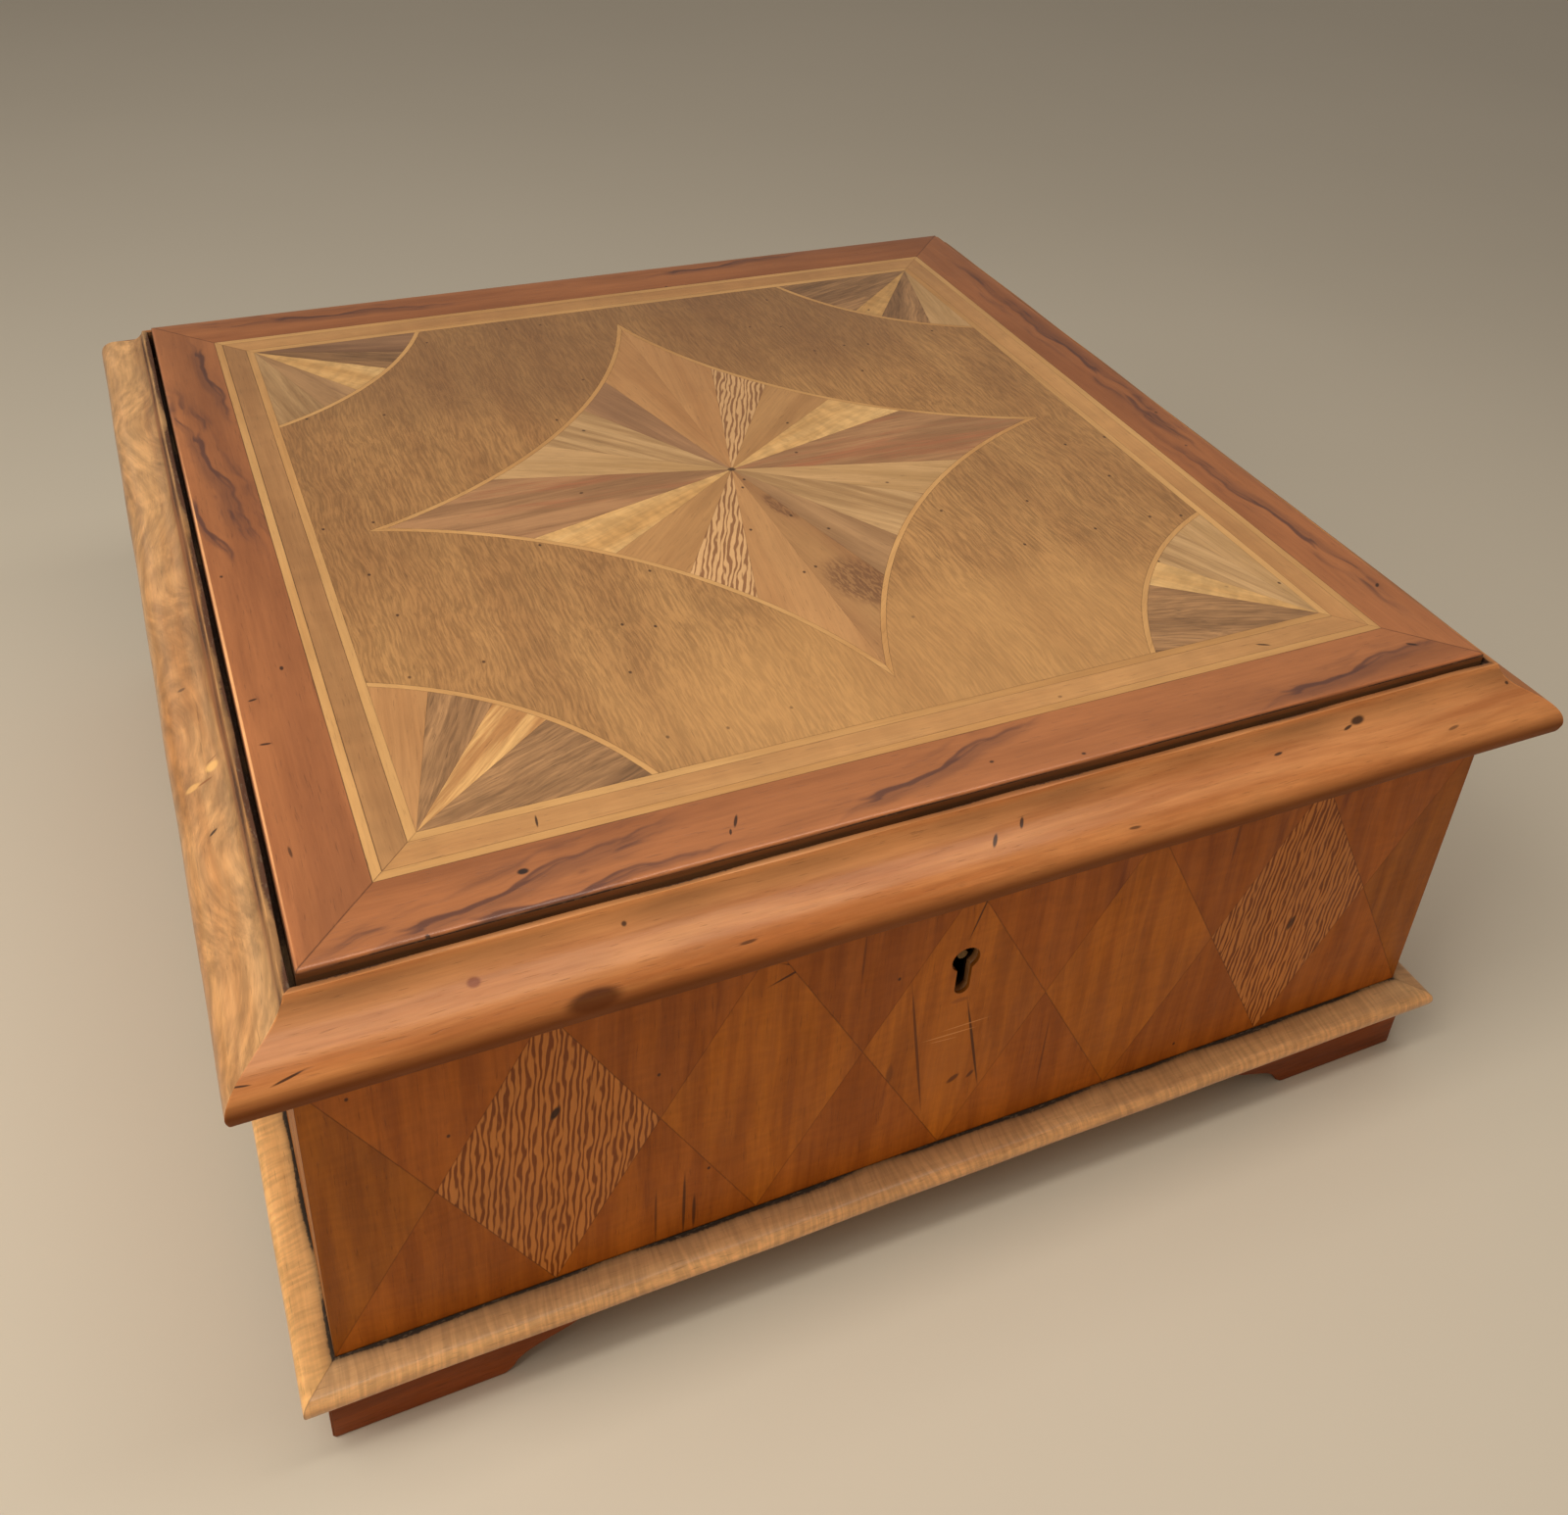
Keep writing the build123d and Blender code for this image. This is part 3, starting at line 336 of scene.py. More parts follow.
def aged_and_lit(g, grain, colour, dirt_and_shade, joint):
    """The colour with ragged grime and painted shade where the wear value is below 0, rubbed wood and painted
    highlights where it is above, and dark joints.
    Gives the colour, where the grime and painted shade lie and how soiled and shaded the wood is."""
    wear_and_light = g.attribute("wear_and_light")
    patchy = g.drawn(grain, 0.12, 0.5, 5.0, 0.75)
    # below 0 the wood is darkened: dirt, and painted shade in grooves, joints and under overhangs
    soiled_and_shaded = g.times(wear_and_light, -1.0, clamp=True)
    colour = g.tint(colour, g.minus(1.0, g.times(soiled_and_shaded, 0.9)))
    ticks = g.drawn(grain, 1.2, 0.16, 2.0, 0.7)
    broken = g.plus(g.times(patchy, 0.6), g.times(ticks, 0.55))
    # the ragged dark mask: grime together with painted shade in the recesses
    grime_and_shade = g.between(g.minus(broken, g.plus(wear_and_light, 0.75)), 0.38, 0.62)
    chips = g.between(g.drawn(grain, 0.7, 1.9, 2.0), 0.56, 0.66, 0.0, 0.55)
    colour = g.mix(g.times(grime_and_shade, 0.95), colour, g.mix(chips, srgb(*dirt_and_shade), srgb(*DUST)))
    # above 0 the wood is lightened: rubbed wear, and painted highlights on arrises and noses
    rub_and_highlight = g.times(g.times(wear_and_light, 1.0, clamp=True), g.between(patchy, 0.3, 0.65, 0.25, 1.0))
    colour = g.tint(colour, g.plus(1.0, g.times(rub_and_highlight, 0.45)))
    edge = g.times(g.attribute("edge"), g.between(patchy, 0.3, 0.6, 0.6, 1.0))
    return g.stain(colour, edge, joint), grime_and_shade, soiled_and_shaded


def metal(name, colour, tarnish, amount=0.5, gloss=0.28, scratch=0.1):
    """Aged metal: a base colour, patches of tarnish, fine rubbing marks."""
    g = Graph(name)
    place = g.place()
    patch = g.noise(g.stretch(place, (90, 90, 90)), 6.0, 0.7, 0.4)
    dull = g.between(patch, 0.42, 0.66)
    fine = g.drawn(place, 400, 2500, 2.0)
    shade = g.mix(g.times(dull, amount), srgb(*colour), srgb(*tarnish))
    rough = g.plus(g.times(dull, 0.25 * amount), g.between(fine, 0.3, 0.7, gloss - 0.05, gloss + 0.08))
    g.surface(Base_Color=g.vary(shade, fine, 0.3, 0.7, scratch), Roughness=rough, Metallic=1.0)
    g.bump(g.plus(fine, g.times(patch, 2.0)), 0.006, 0.5)
    return g.material


def casting(name, colour):
    """Painted or japanned cast iron with a fine pebbled skin."""
    g = Graph(name)
    place = g.place()
    pebble = g.drawn(place, 900, 900)
    worn = g.between(g.drawn(place, 60, 60, 5.0, 0.7), 0.6, 0.72)
    shade = g.tint(g.stain(srgb(*colour), worn, (112, 92, 66)), g.between(pebble, 0.3, 0.7, 0.85, 1.15))
    g.surface(Base_Color=shade, Roughness=g.between(pebble, 0.3, 0.7, 0.38, 0.55), Metallic=0.35)
    g.bump(pebble, 0.03, 0.5)
    return g.material


def plain_floor():
    g = Graph("studio_floor")
    mottle = g.drawn(g.place(), 3, 3, 4.0)
    g.surface(Base_Color=g.mix(mottle, srgb(214, 203, 184), srgb(221, 210, 192)),
              Roughness=g.between(mottle, 0.3, 0.7, 0.7, 0.8))
    return g.material


# ------ palette
NICK_DEPTH = 1.5


def nick(x, y, z, long, wide, turn, dark=0.9, stain=INK):
    """A dent, scratch, stain or patch of painted light, as an entry for wood's marks."""
    return ((x, y, z), (long, wide, NICK_DEPTH), turn, dark, stain)


def nicks(*rows):
    return tuple(nick(*row) for row in rows)


def front_nicks(*rows):
    """Nicks on the case's front: x, z, length, width, lean, then how dark and the stain."""
    return tuple(nick(x, -BODY_OUT, z, long, wide, (90, lean, 0), *look)
                 for x, z, long, wide, lean, *look in rows)


def top_nicks(*rows):
    """Nicks, and patches of painted light, on the lid's top: x, y, length, width, turn, then how dark and the
    colour.
    """
    return tuple(nick(x, y, TOP, long, wide, (0, 0, turn), *look) for x, y, long, wide, turn, *look in rows)


PALE_SCRATCH = (222, 160, 96)
DARK_SCRATCH = (72, 38, 18)
KEY_CRACK = (66, 34, 16)
BRUISE = (92, 48, 20)
CRACK = (62, 32, 18)
FAINT_CRACK = (78, 38, 18)

LID_MOULDING_NICKS = nicks(  # the knot and dents of the front moulding
    (-80.0, -138.4, 109.2, 6.2, 2.8, (65, 0, 2), 0.9, (70, 32, 14)),
    (-98.3, -131.5, 113.8, 1.5, 1.2, (30, 0, 0), 0.75, (118, 52, 26)),
    (-0.6, -132.4, 113.4, 2.0, 0.5, (30, 0, 62)),
    (6.1, -130.7, 114.2, 1.5, 0.45, (35, 0, 75)),
    (87.6, -129.3, 115.1, 2.3, 1.1, (45, 0, 8)),
    (84.6, -130.0, 114.5, 1.6, 0.4, (45, 0, 20)),
    (66.0, -131.2, 113.9, 1.4, 0.4, (30, 0, 6)),
    (-128.8, -137.2, 110.8, 4.2, 0.26, (62, 0, 24)),
    (-136.0, -136.6, 111.3, 2.2, 0.2, (55, 0, -14)),
    (-52.0, -137.0, 111.0, 2.2, 0.35, (60, 0, 4), 0.7),
    (28.0, -136.8, 111.2, 1.7, 0.35, (60, 0, -6), 0.7),
    (109.0, -135.6, 112.0, 2.0, 0.4, (50, 0, 10), 0.6),
)
LEFT_MOULDING_CURL = nicks(  # a pale curl beside a short knot line, dents, and the dull inner edge
    (-131.2, -63.0, 114.0, 4.4, 1.6, (0, 35, 20), 0.75, (252, 196, 116)),
    (-135.4, -66.2, 112.3, 4.0, 1.1, (0, 20, 10), 0.55, (250, 192, 112)),
    (-133.0, -66.2, 113.3, 7.0, 0.35, (0, 28, 15), 0.8, (140, 84, 40)),
    (-131.0, -61.0, 114.1, 4.5, 0.28, (0, 35, 24), 0.6, (150, 92, 44)),
    (-133.0, -80.6, 113.2, 1.1, 0.4, (0, 30, 40)),
    (-134.0, -36.0, 112.9, 0.8, 0.6, (0, 30, 0), 0.6),
    (-128.3, 0.0, 116.8, 1.9, 170.0, (0, 0, 0), 0.8, (158, 94, 52)),
)
KEYHOLE_NICKS = front_nicks(  # the pale heart of the middle lozenge, cracks beside it, and bruises
    (-1.2, 50.0, 7.0, 26.0, 0, 0.35, (206, 126, 46)),
    (-8.7, 55.0, 0.42, 25.0, -9, 0.75, (84, 42, 18)),
    (5.0, 51.0, 0.42, 18.0, -12, 0.85, KEY_CRACK),
    (1.7, 89.5, 0.30, 7.5, 16, 0.85, KEY_CRACK),
    (1.4, 41.6, 2.1, 1.0, -35, 0.85, BRUISE),
    (5.6, 41.2, 1.5, 0.7, -50, 0.85, BRUISE),
    (16.8, 50.0, 0.8, 1.5, 0, 0.6, BRUISE),
    (-14.5, 50.0, 1.0, 4.0, 0, 0.5, BRUISE),
    (-1.2, 56.4, 7.6, 0.26, 3, 0.65, PALE_SCRATCH),
    (2.5, 58.0, 7.0, 0.22, 1, 0.6, PALE_SCRATCH),
    (-2.5, 55.2, 4.0, 0.2, 6, 0.55, PALE_SCRATCH),
    (0.0, 66.2, 2.6, 0.8, 0, 0.4, (110, 60, 34)),
)
LOZENGE_SCRATCHES = front_nicks(
    (-37.6, 89.6, 7.6, 0.42, -20, 0.9, DARK_SCRATCH),
    (-36.6, 90.6, 6.0, 0.36, 26, 0.85, DARK_SCRATCH),
    (-34.0, 88.0, 3.0, 0.26, 64, 0.7, DARK_SCRATCH),
)
GROUND_CRACKS = front_nicks(
    (-59.0, 31.0, 0.42, 12.0, 0, 0.8, CRACK),
    (-65.0, 30.0, 0.35, 10.0, 0, 0.6, (72, 36, 18)),
    (24.0, 40.0, 0.32, 13.0, 0, 0.55, FAINT_CRACK),
    (-23.5, 88.0, 0.35, 9.0, 0, 0.5, FAINT_CRACK),
    (64.0, 90.0, 0.5, 9.0, 0, 0.45, FAINT_CRACK),
) + nicks((-56.8, -BODY_OUT, 27.5, 0.5, 6.5, (90, 0, 4), 0.8, CRACK))
OAK_KNOTS = front_nicks((-84.8, 71.1, 1.0, 2.2, 22, 0.95), (87.4, 55.8, 1.0, 2.8, 16, 0.85, (60, 32, 20)))
LID_NICKS_AND_HIGHLIGHT = top_nicks(  # dents in the border and bands, and a painted highlight along the left arris
    (-85.6, -116.2, 1.3, 0.9, 0, 0.95, (34, 24, 22)),
    (-46.7, -117.3, 0.4, 2.1, -28),
    (-48.6, -119.6, 0.3, 1.0, -20),
    (-121.7, -53.4, 1.1, 0.4, 10),
    (-121.3, -67.5, 1.4, 0.4, -6),
    (-115.0, -45.0, 0.5, 0.9, 0),
    (-121.5, -97.8, 0.35, 1.9, 4, 0.7),
    (112.0, -117.0, 1.6, 0.5, -30),
    (121.0, -96.0, 1.2, 0.5, 40),
    (-80.0, -105.0, 0.3, 1.9, -8),
    (80.5, -106.0, 2.0, 0.35, -24),
    # painted highlight: a pale line along the border's left arris
    (-TOP_HALF + 0.42, -35.0, 0.36, 100.0, 0, 0.75, (236, 172, 114)),
)
FIELD_PAINTED_LIGHT = top_nicks(  # painted light on the field: paler, as if lit, towards the front; darker and browner, as painted shade, towards the back
    (20, -86, 96, 34, 0, 0.36, (214, 160, 98)),
    (0, 78, 130, 52, 0, 0.42, (122, 84, 54)),
)
STAR_HUB = top_nicks((0, 0, 1.3, 1.1, 0, 0.85, (64, 46, 32)))

BORDER_VEINS = {  # centre, radii and turn of each veined patch
    "front": (((-90, -119), (40, 7.0), 12), ((-78, -123.4), (34, 2.6), 3),
              ((-5, -116.5), (30, 4.4), 13), ((92, -119.5), (32, 4.4), 6)),
    "left": (((-117.5, 40), (50, 6.6), -82), ((-121.8, 12), (17, 2.4), -80), ((-113, 88), (30, 3.6), -86)),
    "back": (((-75, 119.5), (44, 4.4), -4), ((44, 121.5), (34, 3.2), 3)),
    "right": (((119.4, 36), (74, 5.0), 91), ((117.0, -60), (52, 4.2), 94)),
}
WEDGES = {  # the star's woods: light and dark tones, and what sets each apart
    "russet": ((180, 132, 90), (150, 108, 72), dict(
        bands=1.8, band_size=(90.0, 5.0), specks=0.45, streak=(166, 108, 72), streak_at=(0.5, 0.6))),
    "satin": ((222, 178, 118), (198, 148, 88), dict(
        fibre=0.07, ripple=0.12, ripple_size=(3.0, 5.0), lines=0.06, pores=0.12, specks=0.1)),
    "amber": ((196, 146, 92), (170, 122, 74), dict(fibre=0.09, specks=0.6)),
    "orange": ((196, 144, 92), (176, 124, 76), dict(fibre=0.09, specks=0.4)),
    "rayed": ((184, 136, 86), (160, 112, 70), dict(fibre=0.09, specks=0.4, rays=(
        ((9.5, -55.5, TOP), (13.5, 9.5, 3), (0, 0, -70)), ((4.3, -20, TOP), (8.0, 2.8, 3), (0, 0, -76))))),
    "umber": ((188, 140, 98), (152, 110, 76), dict(bands=1.4, fibre=0.11, streak=(120, 82, 62))),
    "tan": ((184, 140, 96), (154, 114, 76), dict(
        bands=1.4, specks=0.4, streak=(114, 78, 60), streak_at=(0.60, 0.70))),
    "olive": ((204, 162, 112), (168, 128, 84), dict(
        bands=1.5, band_size=(70.0, 4.0), fibre=0.12, specks=0.45)),
    "straw": ((208, 164, 113), (178, 137, 88), dict(band_size=(80.0, 5.0), specks=0.4)),
}
# the honey mouldings get painted shade with an orange cast below their nose
HONEY = dict(bands=1.2, band_size=(110.0, 7.0), fibre=0.09, specks=0.05, gloss=0.44, coat=0.15,
             shaded_below=109.6, dirt_and_shade=(58, 34, 20))
BORDER = dict(light=(174, 109, 65), dark=(148, 89, 52), bands=1.1, fibre=0.07, specks=0.06,
              joint=(58, 30, 18), dirt_and_shade=(40, 26, 18), marks=LID_NICKS_AND_HIGHLIGHT)
SIDE = dict(bands=1.2, band_size=(70.0, 5.0), fibre=0.08, ripple=0.05, ripple_size=(1.6, 7.0), gloss=0.46,
            coat=0.05, dirt_and_shade=(48, 30, 18))
BASE = dict(fibre=0.06, dirt_and_shade=(46, 34, 22))
OAK = dict(fibre=0.06, pores=0.1, flecks=True)


def palette():
    """Every material, by the name that the pieces ask for."""
    looks = {
        "lid_front": wood("honey_moulding", (198, 134, 80), (166, 100, 52), marks=LID_MOULDING_NICKS,
            **HONEY),
        "lid_plain": wood("honey_moulding_plain", (196, 134, 80), (166, 100, 52), **HONEY),
        "lid_curly": wood("curly_moulding", (210, 160, 106), (178, 122, 70), bands=1.3, fibre=0.06,
            swirl=0.22, ripple=0.10, ripple_size=(7.0, 26.0), specks=0.04, dirt_and_shade=(84, 48, 26),
            marks=LEFT_MOULDING_CURL),
        "base_front": wood("base_moulding", (206, 160, 108), (174, 126, 80), ripple=0.13,
            ripple_size=(0.9, 9.0), specks=0.06, **BASE),
        "base_curly": wood("base_moulding_pale", (240, 185, 118), (208, 152, 91), ripple=0.12,
            ripple_size=(1.2, 9.0), specks=0.04, **BASE),
        "foot": wood("foot_wood", (144, 74, 26), (104, 50, 16), fibre=0.16, pores=0.4, gloss=0.5, coat=0.04,
            dirt_and_shade=(46, 26, 14)),
        "band": wood("kauri_band", (202, 150, 94), (180, 128, 78), fibre=0.07, ripple=0.04, specks=0.08,
            marks=LID_NICKS_AND_HIGHLIGHT),
        "band_left": wood("kauri_band_left", (186, 136, 86), (162, 114, 70), fibre=0.08, ripple=0.04,
            specks=0.12, marks=LID_NICKS_AND_HIGHLIGHT),
        "string": wood("light_string", (212, 162, 102), (190, 138, 82), fibre=0.07, pores=0.15),
        "field": wood("figured_field", (184, 136, 83), (154, 108, 64), bands=0.7, band_size=(90.0, 16.0),
            lines=0.17, line_size=(6.0, 0.55), specks=0.35, marks=FIELD_PAINTED_LIGHT),
        "lace": wood("silky_oak", (214, 166, 114), (146, 100, 62), marks=STAR_HUB, **OAK),
        # the sides' silky oak is a darker, more orange copy of the lid's: partly the wood's colour, partly
        # painted shade with painted orange bounce light
        "lace_side": wood("silky_oak_side", (190, 122, 60), (124, 66, 24), gloss=0.46, coat=0.05,
            marks=OAK_KNOTS, **OAK),
        "walnut": wood("walnut_fan", (158, 116, 82), (124, 88, 62), bands=1.4, fibre=0.11),
        "grey": wood("grey_fan", (186, 146, 100), (154, 116, 76), bands=1.5, band_size=(70.0, 4.0),
            fibre=0.12),
        "dusky": wood("dusky_fan", (170, 126, 84), (128, 92, 60), bands=1.2, band_size=(60.0, 5.0),
            fibre=0.14, lines=0.16, line_size=(9.0, 0.6), pores=0.4),
        "striped": wood("striped_fan", (226, 176, 112), (182, 128, 76), bands=2.2, band_size=(120.0, 3.2),
            lines=0.06),
        # the sides' woods are darker and more orange than like woods on the lid: partly the wood's colour,
        # partly painted shade with painted orange bounce light
        "ground": wood("side_ground", (170, 96, 26), (146, 78, 18), streak=(124, 62, 16),
            streak_at=(0.60, 0.72), specks=0.10, marks=GROUND_CRACKS, **SIDE),
        "golden": wood("side_golden", (180, 106, 28), (154, 86, 20), specks=0.05, **SIDE),
        "dim": wood("side_golden_dim", (164, 96, 24), (139, 77, 16), specks=0.08, **SIDE),
        "scratched": wood("side_golden_scratched", (182, 107, 28), (156, 86, 20), specks=0.05,
            marks=LOZENGE_SCRATCHES, **SIDE),
        "keyed": wood("side_centre", (186, 110, 30), (154, 86, 22), specks=0.05, marks=KEYHOLE_NICKS, **SIDE),
        "back": wood("back_veneer", (174, 104, 42), (146, 82, 32), bands=1.2, fibre=0.08, specks=0.06),
        "case": wood("carcase_pine", (190, 138, 84), (156, 106, 60), bands=1.3, fibre=0.12, pores=0.3,
            gloss=0.5),
        "board": wood("lid_board_wood", (150, 98, 58), (118, 74, 42), fibre=0.12, pores=0.35, gloss=0.5),
        "brass": metal("aged_brass", (202, 164, 96), (120, 92, 54), 0.7),
        "lock_brass": metal("lock_brass", (120, 94, 60), (58, 44, 30), 0.8, 0.4),
        "bright_brass": metal("movement_brass", (226, 184, 104), (176, 134, 70), 0.4, 0.2),
        "steel": metal("turned_steel", (186, 186, 188), (120, 116, 110), 0.4, 0.24),
        "comb_steel": metal("comb_steel", (206, 207, 210), (150, 146, 140), 0.25, 0.2, 0.06),
        "spring_steel": metal("spring_steel", (96, 108, 140), (70, 66, 72), 0.5),
        "blued": metal("blued_screws", (60, 76, 140), (44, 46, 70), 0.5, 0.18),
        "iron": casting("japanned_iron", (44, 38, 32)),
    }
    for side, zones in BORDER_VEINS.items():
        looks[f"border_{side}"] = wood(f"border_{side}", veins=zones, **BORDER)
    for species, (light, dark, more) in WEDGES.items():
        looks[species] = wood(f"{species}_wedge", light, dark, marks=STAR_HUB, **more)
    return looks


# ------ mesh helpers
MITRE_SOFT = 0.35  # a moulding's rows of points stand this close together at its mitres
SHARPEST = 0.12  # keeps inset points near their corner where a tip is very sharp


def chance(name):
    """Repeatable random numbers for one piece."""
    return random.Random(zlib.crc32(name.encode()))


def add_object(name, data):
    obj = bpy.data.objects.new(name, data)
    bpy.context.scene.collection.objects.link(obj)
    return obj


def mesh_from(name, made):
    """The finished mesh of a bmesh, which is freed."""
    mesh = bpy.data.meshes.new(name)
    made.to_mesh(mesh)
    made.free()
    return mesh


class Shape:
    """A mesh in the making: vertices in mm, with grain place, joint darkness and a wear value at each, which
    also carries painted shade and painted highlights.
    """

    def __init__(self):
        self.points, self.faces, self.grain, self.edge, self.wear_and_light = [], [], [], [], []

    def add(self, point, grain, edge=0.0, wear_and_light=0.0):
        self.points.append([c * MM for c in point])
        self.grain.append(grain)
        self.edge.append(edge)
        self.wear_and_light.append(wear_and_light)
        return len(self.points) - 1

    def join(self, rings, closed=False):
        """Join rings of equal length with quads; closed fills the two ends."""
        n = len(rings[0])
        for lower, upper in zip(rings, rings[1:]):
            for k in range(n):
                j = (k + 1) % n
                self.faces.append((lower[k], lower[j], upper[j], upper[k]))
        if closed:
            self.faces += [tuple(rings[0]), tuple(rings[-1])]


def make(shape, name, material, body, node, sharp=40.0, joint=0.6):
    """Turn a Shape into a named object that rides on a body in place of a CAD node.
    joint is how dark its edges are, from 0 to 1."""
    rng = chance(name)
    mesh = bpy.data.meshes.new(name)
    mesh.from_pydata(shape.points, [], shape.faces)
    made = bmesh.new()
    made.from_mesh(mesh)
    bmesh.ops.recalc_face_normals(made, faces=made.faces)
    made.to_mesh(mesh)
    made.free()
    shift = [rng.uniform(-900, 900) for _ in range(3)]
    grain = mesh.attributes.new("grain", "FLOAT_VECTOR", "POINT")
    grain.data.foreach_set("vector", [c + s for place in shape.grain for c, s in zip(place, shift)])
    tone = rng.uniform(-0.035, 0.035)
    edge = [joint * e for e in shape.edge]
    for key, values in (("edge", edge), ("wear_and_light", shape.wear_and_light), ("tone", [tone] * len(shape.points))):
        mesh.attributes.new(key, "FLOAT", "POINT").data.foreach_set("value", values)
    mesh.materials.append(LOOKS[material])
    mesh.shade_smooth()
    mesh.set_sharp_from_angle(angle=math.radians(sharp))
    obj = add_object(name, mesh)
    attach(obj, body)
    if node:
        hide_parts(node)
    return obj


def on_side(side, along, out, z):
    (ax, ay), (ox, oy) = SIDES[side]
    return (ax * along + ox * out, ay * along + oy * out, z)


def smooth_path(points, steps):
    """Catmull-Rom curve through the points. A point's wear value, with the painted shade and highlights it
    carries, is carried along with its place.
    """
    out = []
    last = len(points) - 1
    for i in range(last):
        p0, p1, p2, p3 = (points[max(0, min(last, i + k))] for k in (-1, 0, 1, 2))
        for t in (s / steps for s in range(steps)):
            out.append(tuple(
                0.5 * (2 * b + (c - a) * t + (2 * a - 5 * b + 4 * c - d) * t * t
                       + (3 * b - a - 3 * c + d) * t ** 3)
                for a, b, c, d in zip(p0, p1, p2, p3)))
    out.append(tuple(points[-1]))
    return out


def mitred_bar(side, profile, steps, sway=0.0, seed="", rub_and_highlight=0.0):
    """Sweep a closed profile of (distance out, z, wear value with painted shade and highlights) along one side
    between two mitres.
    sway is how far hand work bends it; the last argument is extra lightening on the arrises of the mitres, a
    painted highlight."""
    rng = chance(side + seed)
    phase = [rng.uniform(0, 6.3) for _ in range(4)]
    reach = max(p[0] for p in profile)
    ends = [0.0, MITRE_SOFT / reach, 4 * MITRE_SOFT / reach]
    inner = [ends[-1] + (1 - ends[-1]) * i / steps for i in range(1, steps + 1)]
    half = ends + inner
    stations = [-1 + h for h in half[:-1]] + [0.0] + [1 - h for h in reversed(half[:-1])]
    shape = Shape()
    for t in stations:
        calm = min(1.0, (1 - abs(t)) * 12)
        place = t * reach
        for k, (out, z, wear_and_light) in enumerate(profile):
            wave = math.sin(place / 17 + phase[0]) + math.sin(place / 7.3 + phase[1] + k * 0.05)
            rise = math.sin(place / 23 + phase[2]) + math.sin(place / 9.1 + phase[3] + k * 0.05)
            size = sway * calm
            along = t * (out - GAP)
            patch = 0.25 * math.sin(place / 11 + phase[1]) + 0.2 * math.sin(place / 4.7 + phase[3])
            # the wear value with its painted shade and highlights; near the mitres the arrises get extra
            # lightening as a painted highlight
            worn = wear_and_light * (1 + patch)
            if wear_and_light > -0.3 and reach * (1 - abs(t)) < 0.2:
                worn += rub_and_highlight
            shape.add(on_side(side, along, out + size * wave * 0.5, z + size * rise * 0.5),
                      (along, out, z), float(abs(abs(t) - 1) < 1e-6), worn)
    n = len(profile)
    shape.join([list(range(i * n, i * n + n)) for i in range(len(stations))], closed=True)
    return shape


def inset(loop, depth):
    """Move a loop to its left by depth, which is inwards for a loop run anticlockwise."""
    moved = []
    for i, (x, y) in enumerate(loop):
        x0, y0 = loop[i - 1]
        x1, y1 = loop[(i + 1) % len(loop)]
        la, lb = math.hypot(x - x0, y - y0), math.hypot(x1 - x, y1 - y)
        na = (-(y - y0) / la, (x - x0) / la)
        nb = (-(y1 - y) / lb, (x1 - x) / lb)
        spread = max(SHARPEST, 1 + na[0] * nb[0] + na[1] * nb[1])
        moved.append((x + (na[0] + nb[0]) / spread * depth, y + (na[1] + nb[1]) / spread * depth))
    return moved


def distinct(loop):
    """The loop without points that repeat the one before."""
    return [p for i, p in enumerate(loop) if math.dist(p, loop[i - 1]) > 0.01]


def area(loop):
    return sum(x0 * y1 - x1 * y0 for (x0, y0), (x1, y1) in zip(loop, loop[1:] + loop[:1])) / 2


def plate(loops, place, turn, thick=SKIN, soft=JOINT, drop=0.012, edge_wear=0.0, gap=GAP):
    """A flat piece. loops are the outline and then any holes, place maps (a, b, depth) to space,
    and turn is the direction of the grain in degrees."""
    c, s = math.cos(math.radians(turn)), math.sin(math.radians(turn))
    shape = Shape()

    def put(point, depth, edge):
        a, b = point
        return shape.add(place(a, b, depth), (a * c + b * s, b * c - a * s, depth), edge, edge * edge_wear)

    flat, tops, lows = [], [], []
    for k, loop in enumerate(loops):
        loop = distinct(loop)
        if (area(loop) < 0) == (k == 0):
            loop = loop[::-1]
        rim = inset(loop, gap)
        core = inset(loop, gap + soft)
        low_ring = [put(p, thick, 1.0) for p in rim]
        rim_ring = [put(p, drop, 1.0) for p in rim]
        core_ring = [put(p, 0.0, 0.0) for p in core]
        shape.join([low_ring, rim_ring, core_ring])
        flat.append([Vector((x, y, 0)) for x, y in core])
        tops += core_ring
        lows += low_ring
    for a, b, c3 in tessellate_polygon(flat):
        shape.faces.append((tops[a], tops[b], tops[c3]))
        shape.faces.append((lows[c3], lows[b], lows[a]))
    return shape


def polar(r, degrees, x=0.0, y=0.0):
    return (x + r * math.cos(math.radians(degrees)), y + r * math.sin(math.radians(degrees)))


def sweep(a0, a1, step):
    """Angles from a0 to a1, both included, about a step apart."""
    n = max(2, round((a1 - a0) / step))
    return [a0 + (a1 - a0) * i / n for i in range(n + 1)]


def on_lid(a, b, depth):
    return (a, b, TOP - depth)


# ------ the lid's inlay
def star_reach(angle, r):
    """Distance from the centre to the star's hollow edge of radius r."""
    s = abs(math.cos(math.radians(angle))) + abs(math.sin(math.radians(angle)))
    return ARC_CENTRE * s - math.sqrt((ARC_CENTRE * s) ** 2 - (2 * ARC_CENTRE ** 2 - r * r))


def star_points(a0, a1, r):
    """Outline of the star between two angles, with its tips kept sharp."""
    angles = set(sweep(a0, a1, 2)) | {t for t in range(-90, 451, 90) if a0 < t < a1}
    return [polar(star_reach(a, r), a) for a in sorted(angles)]


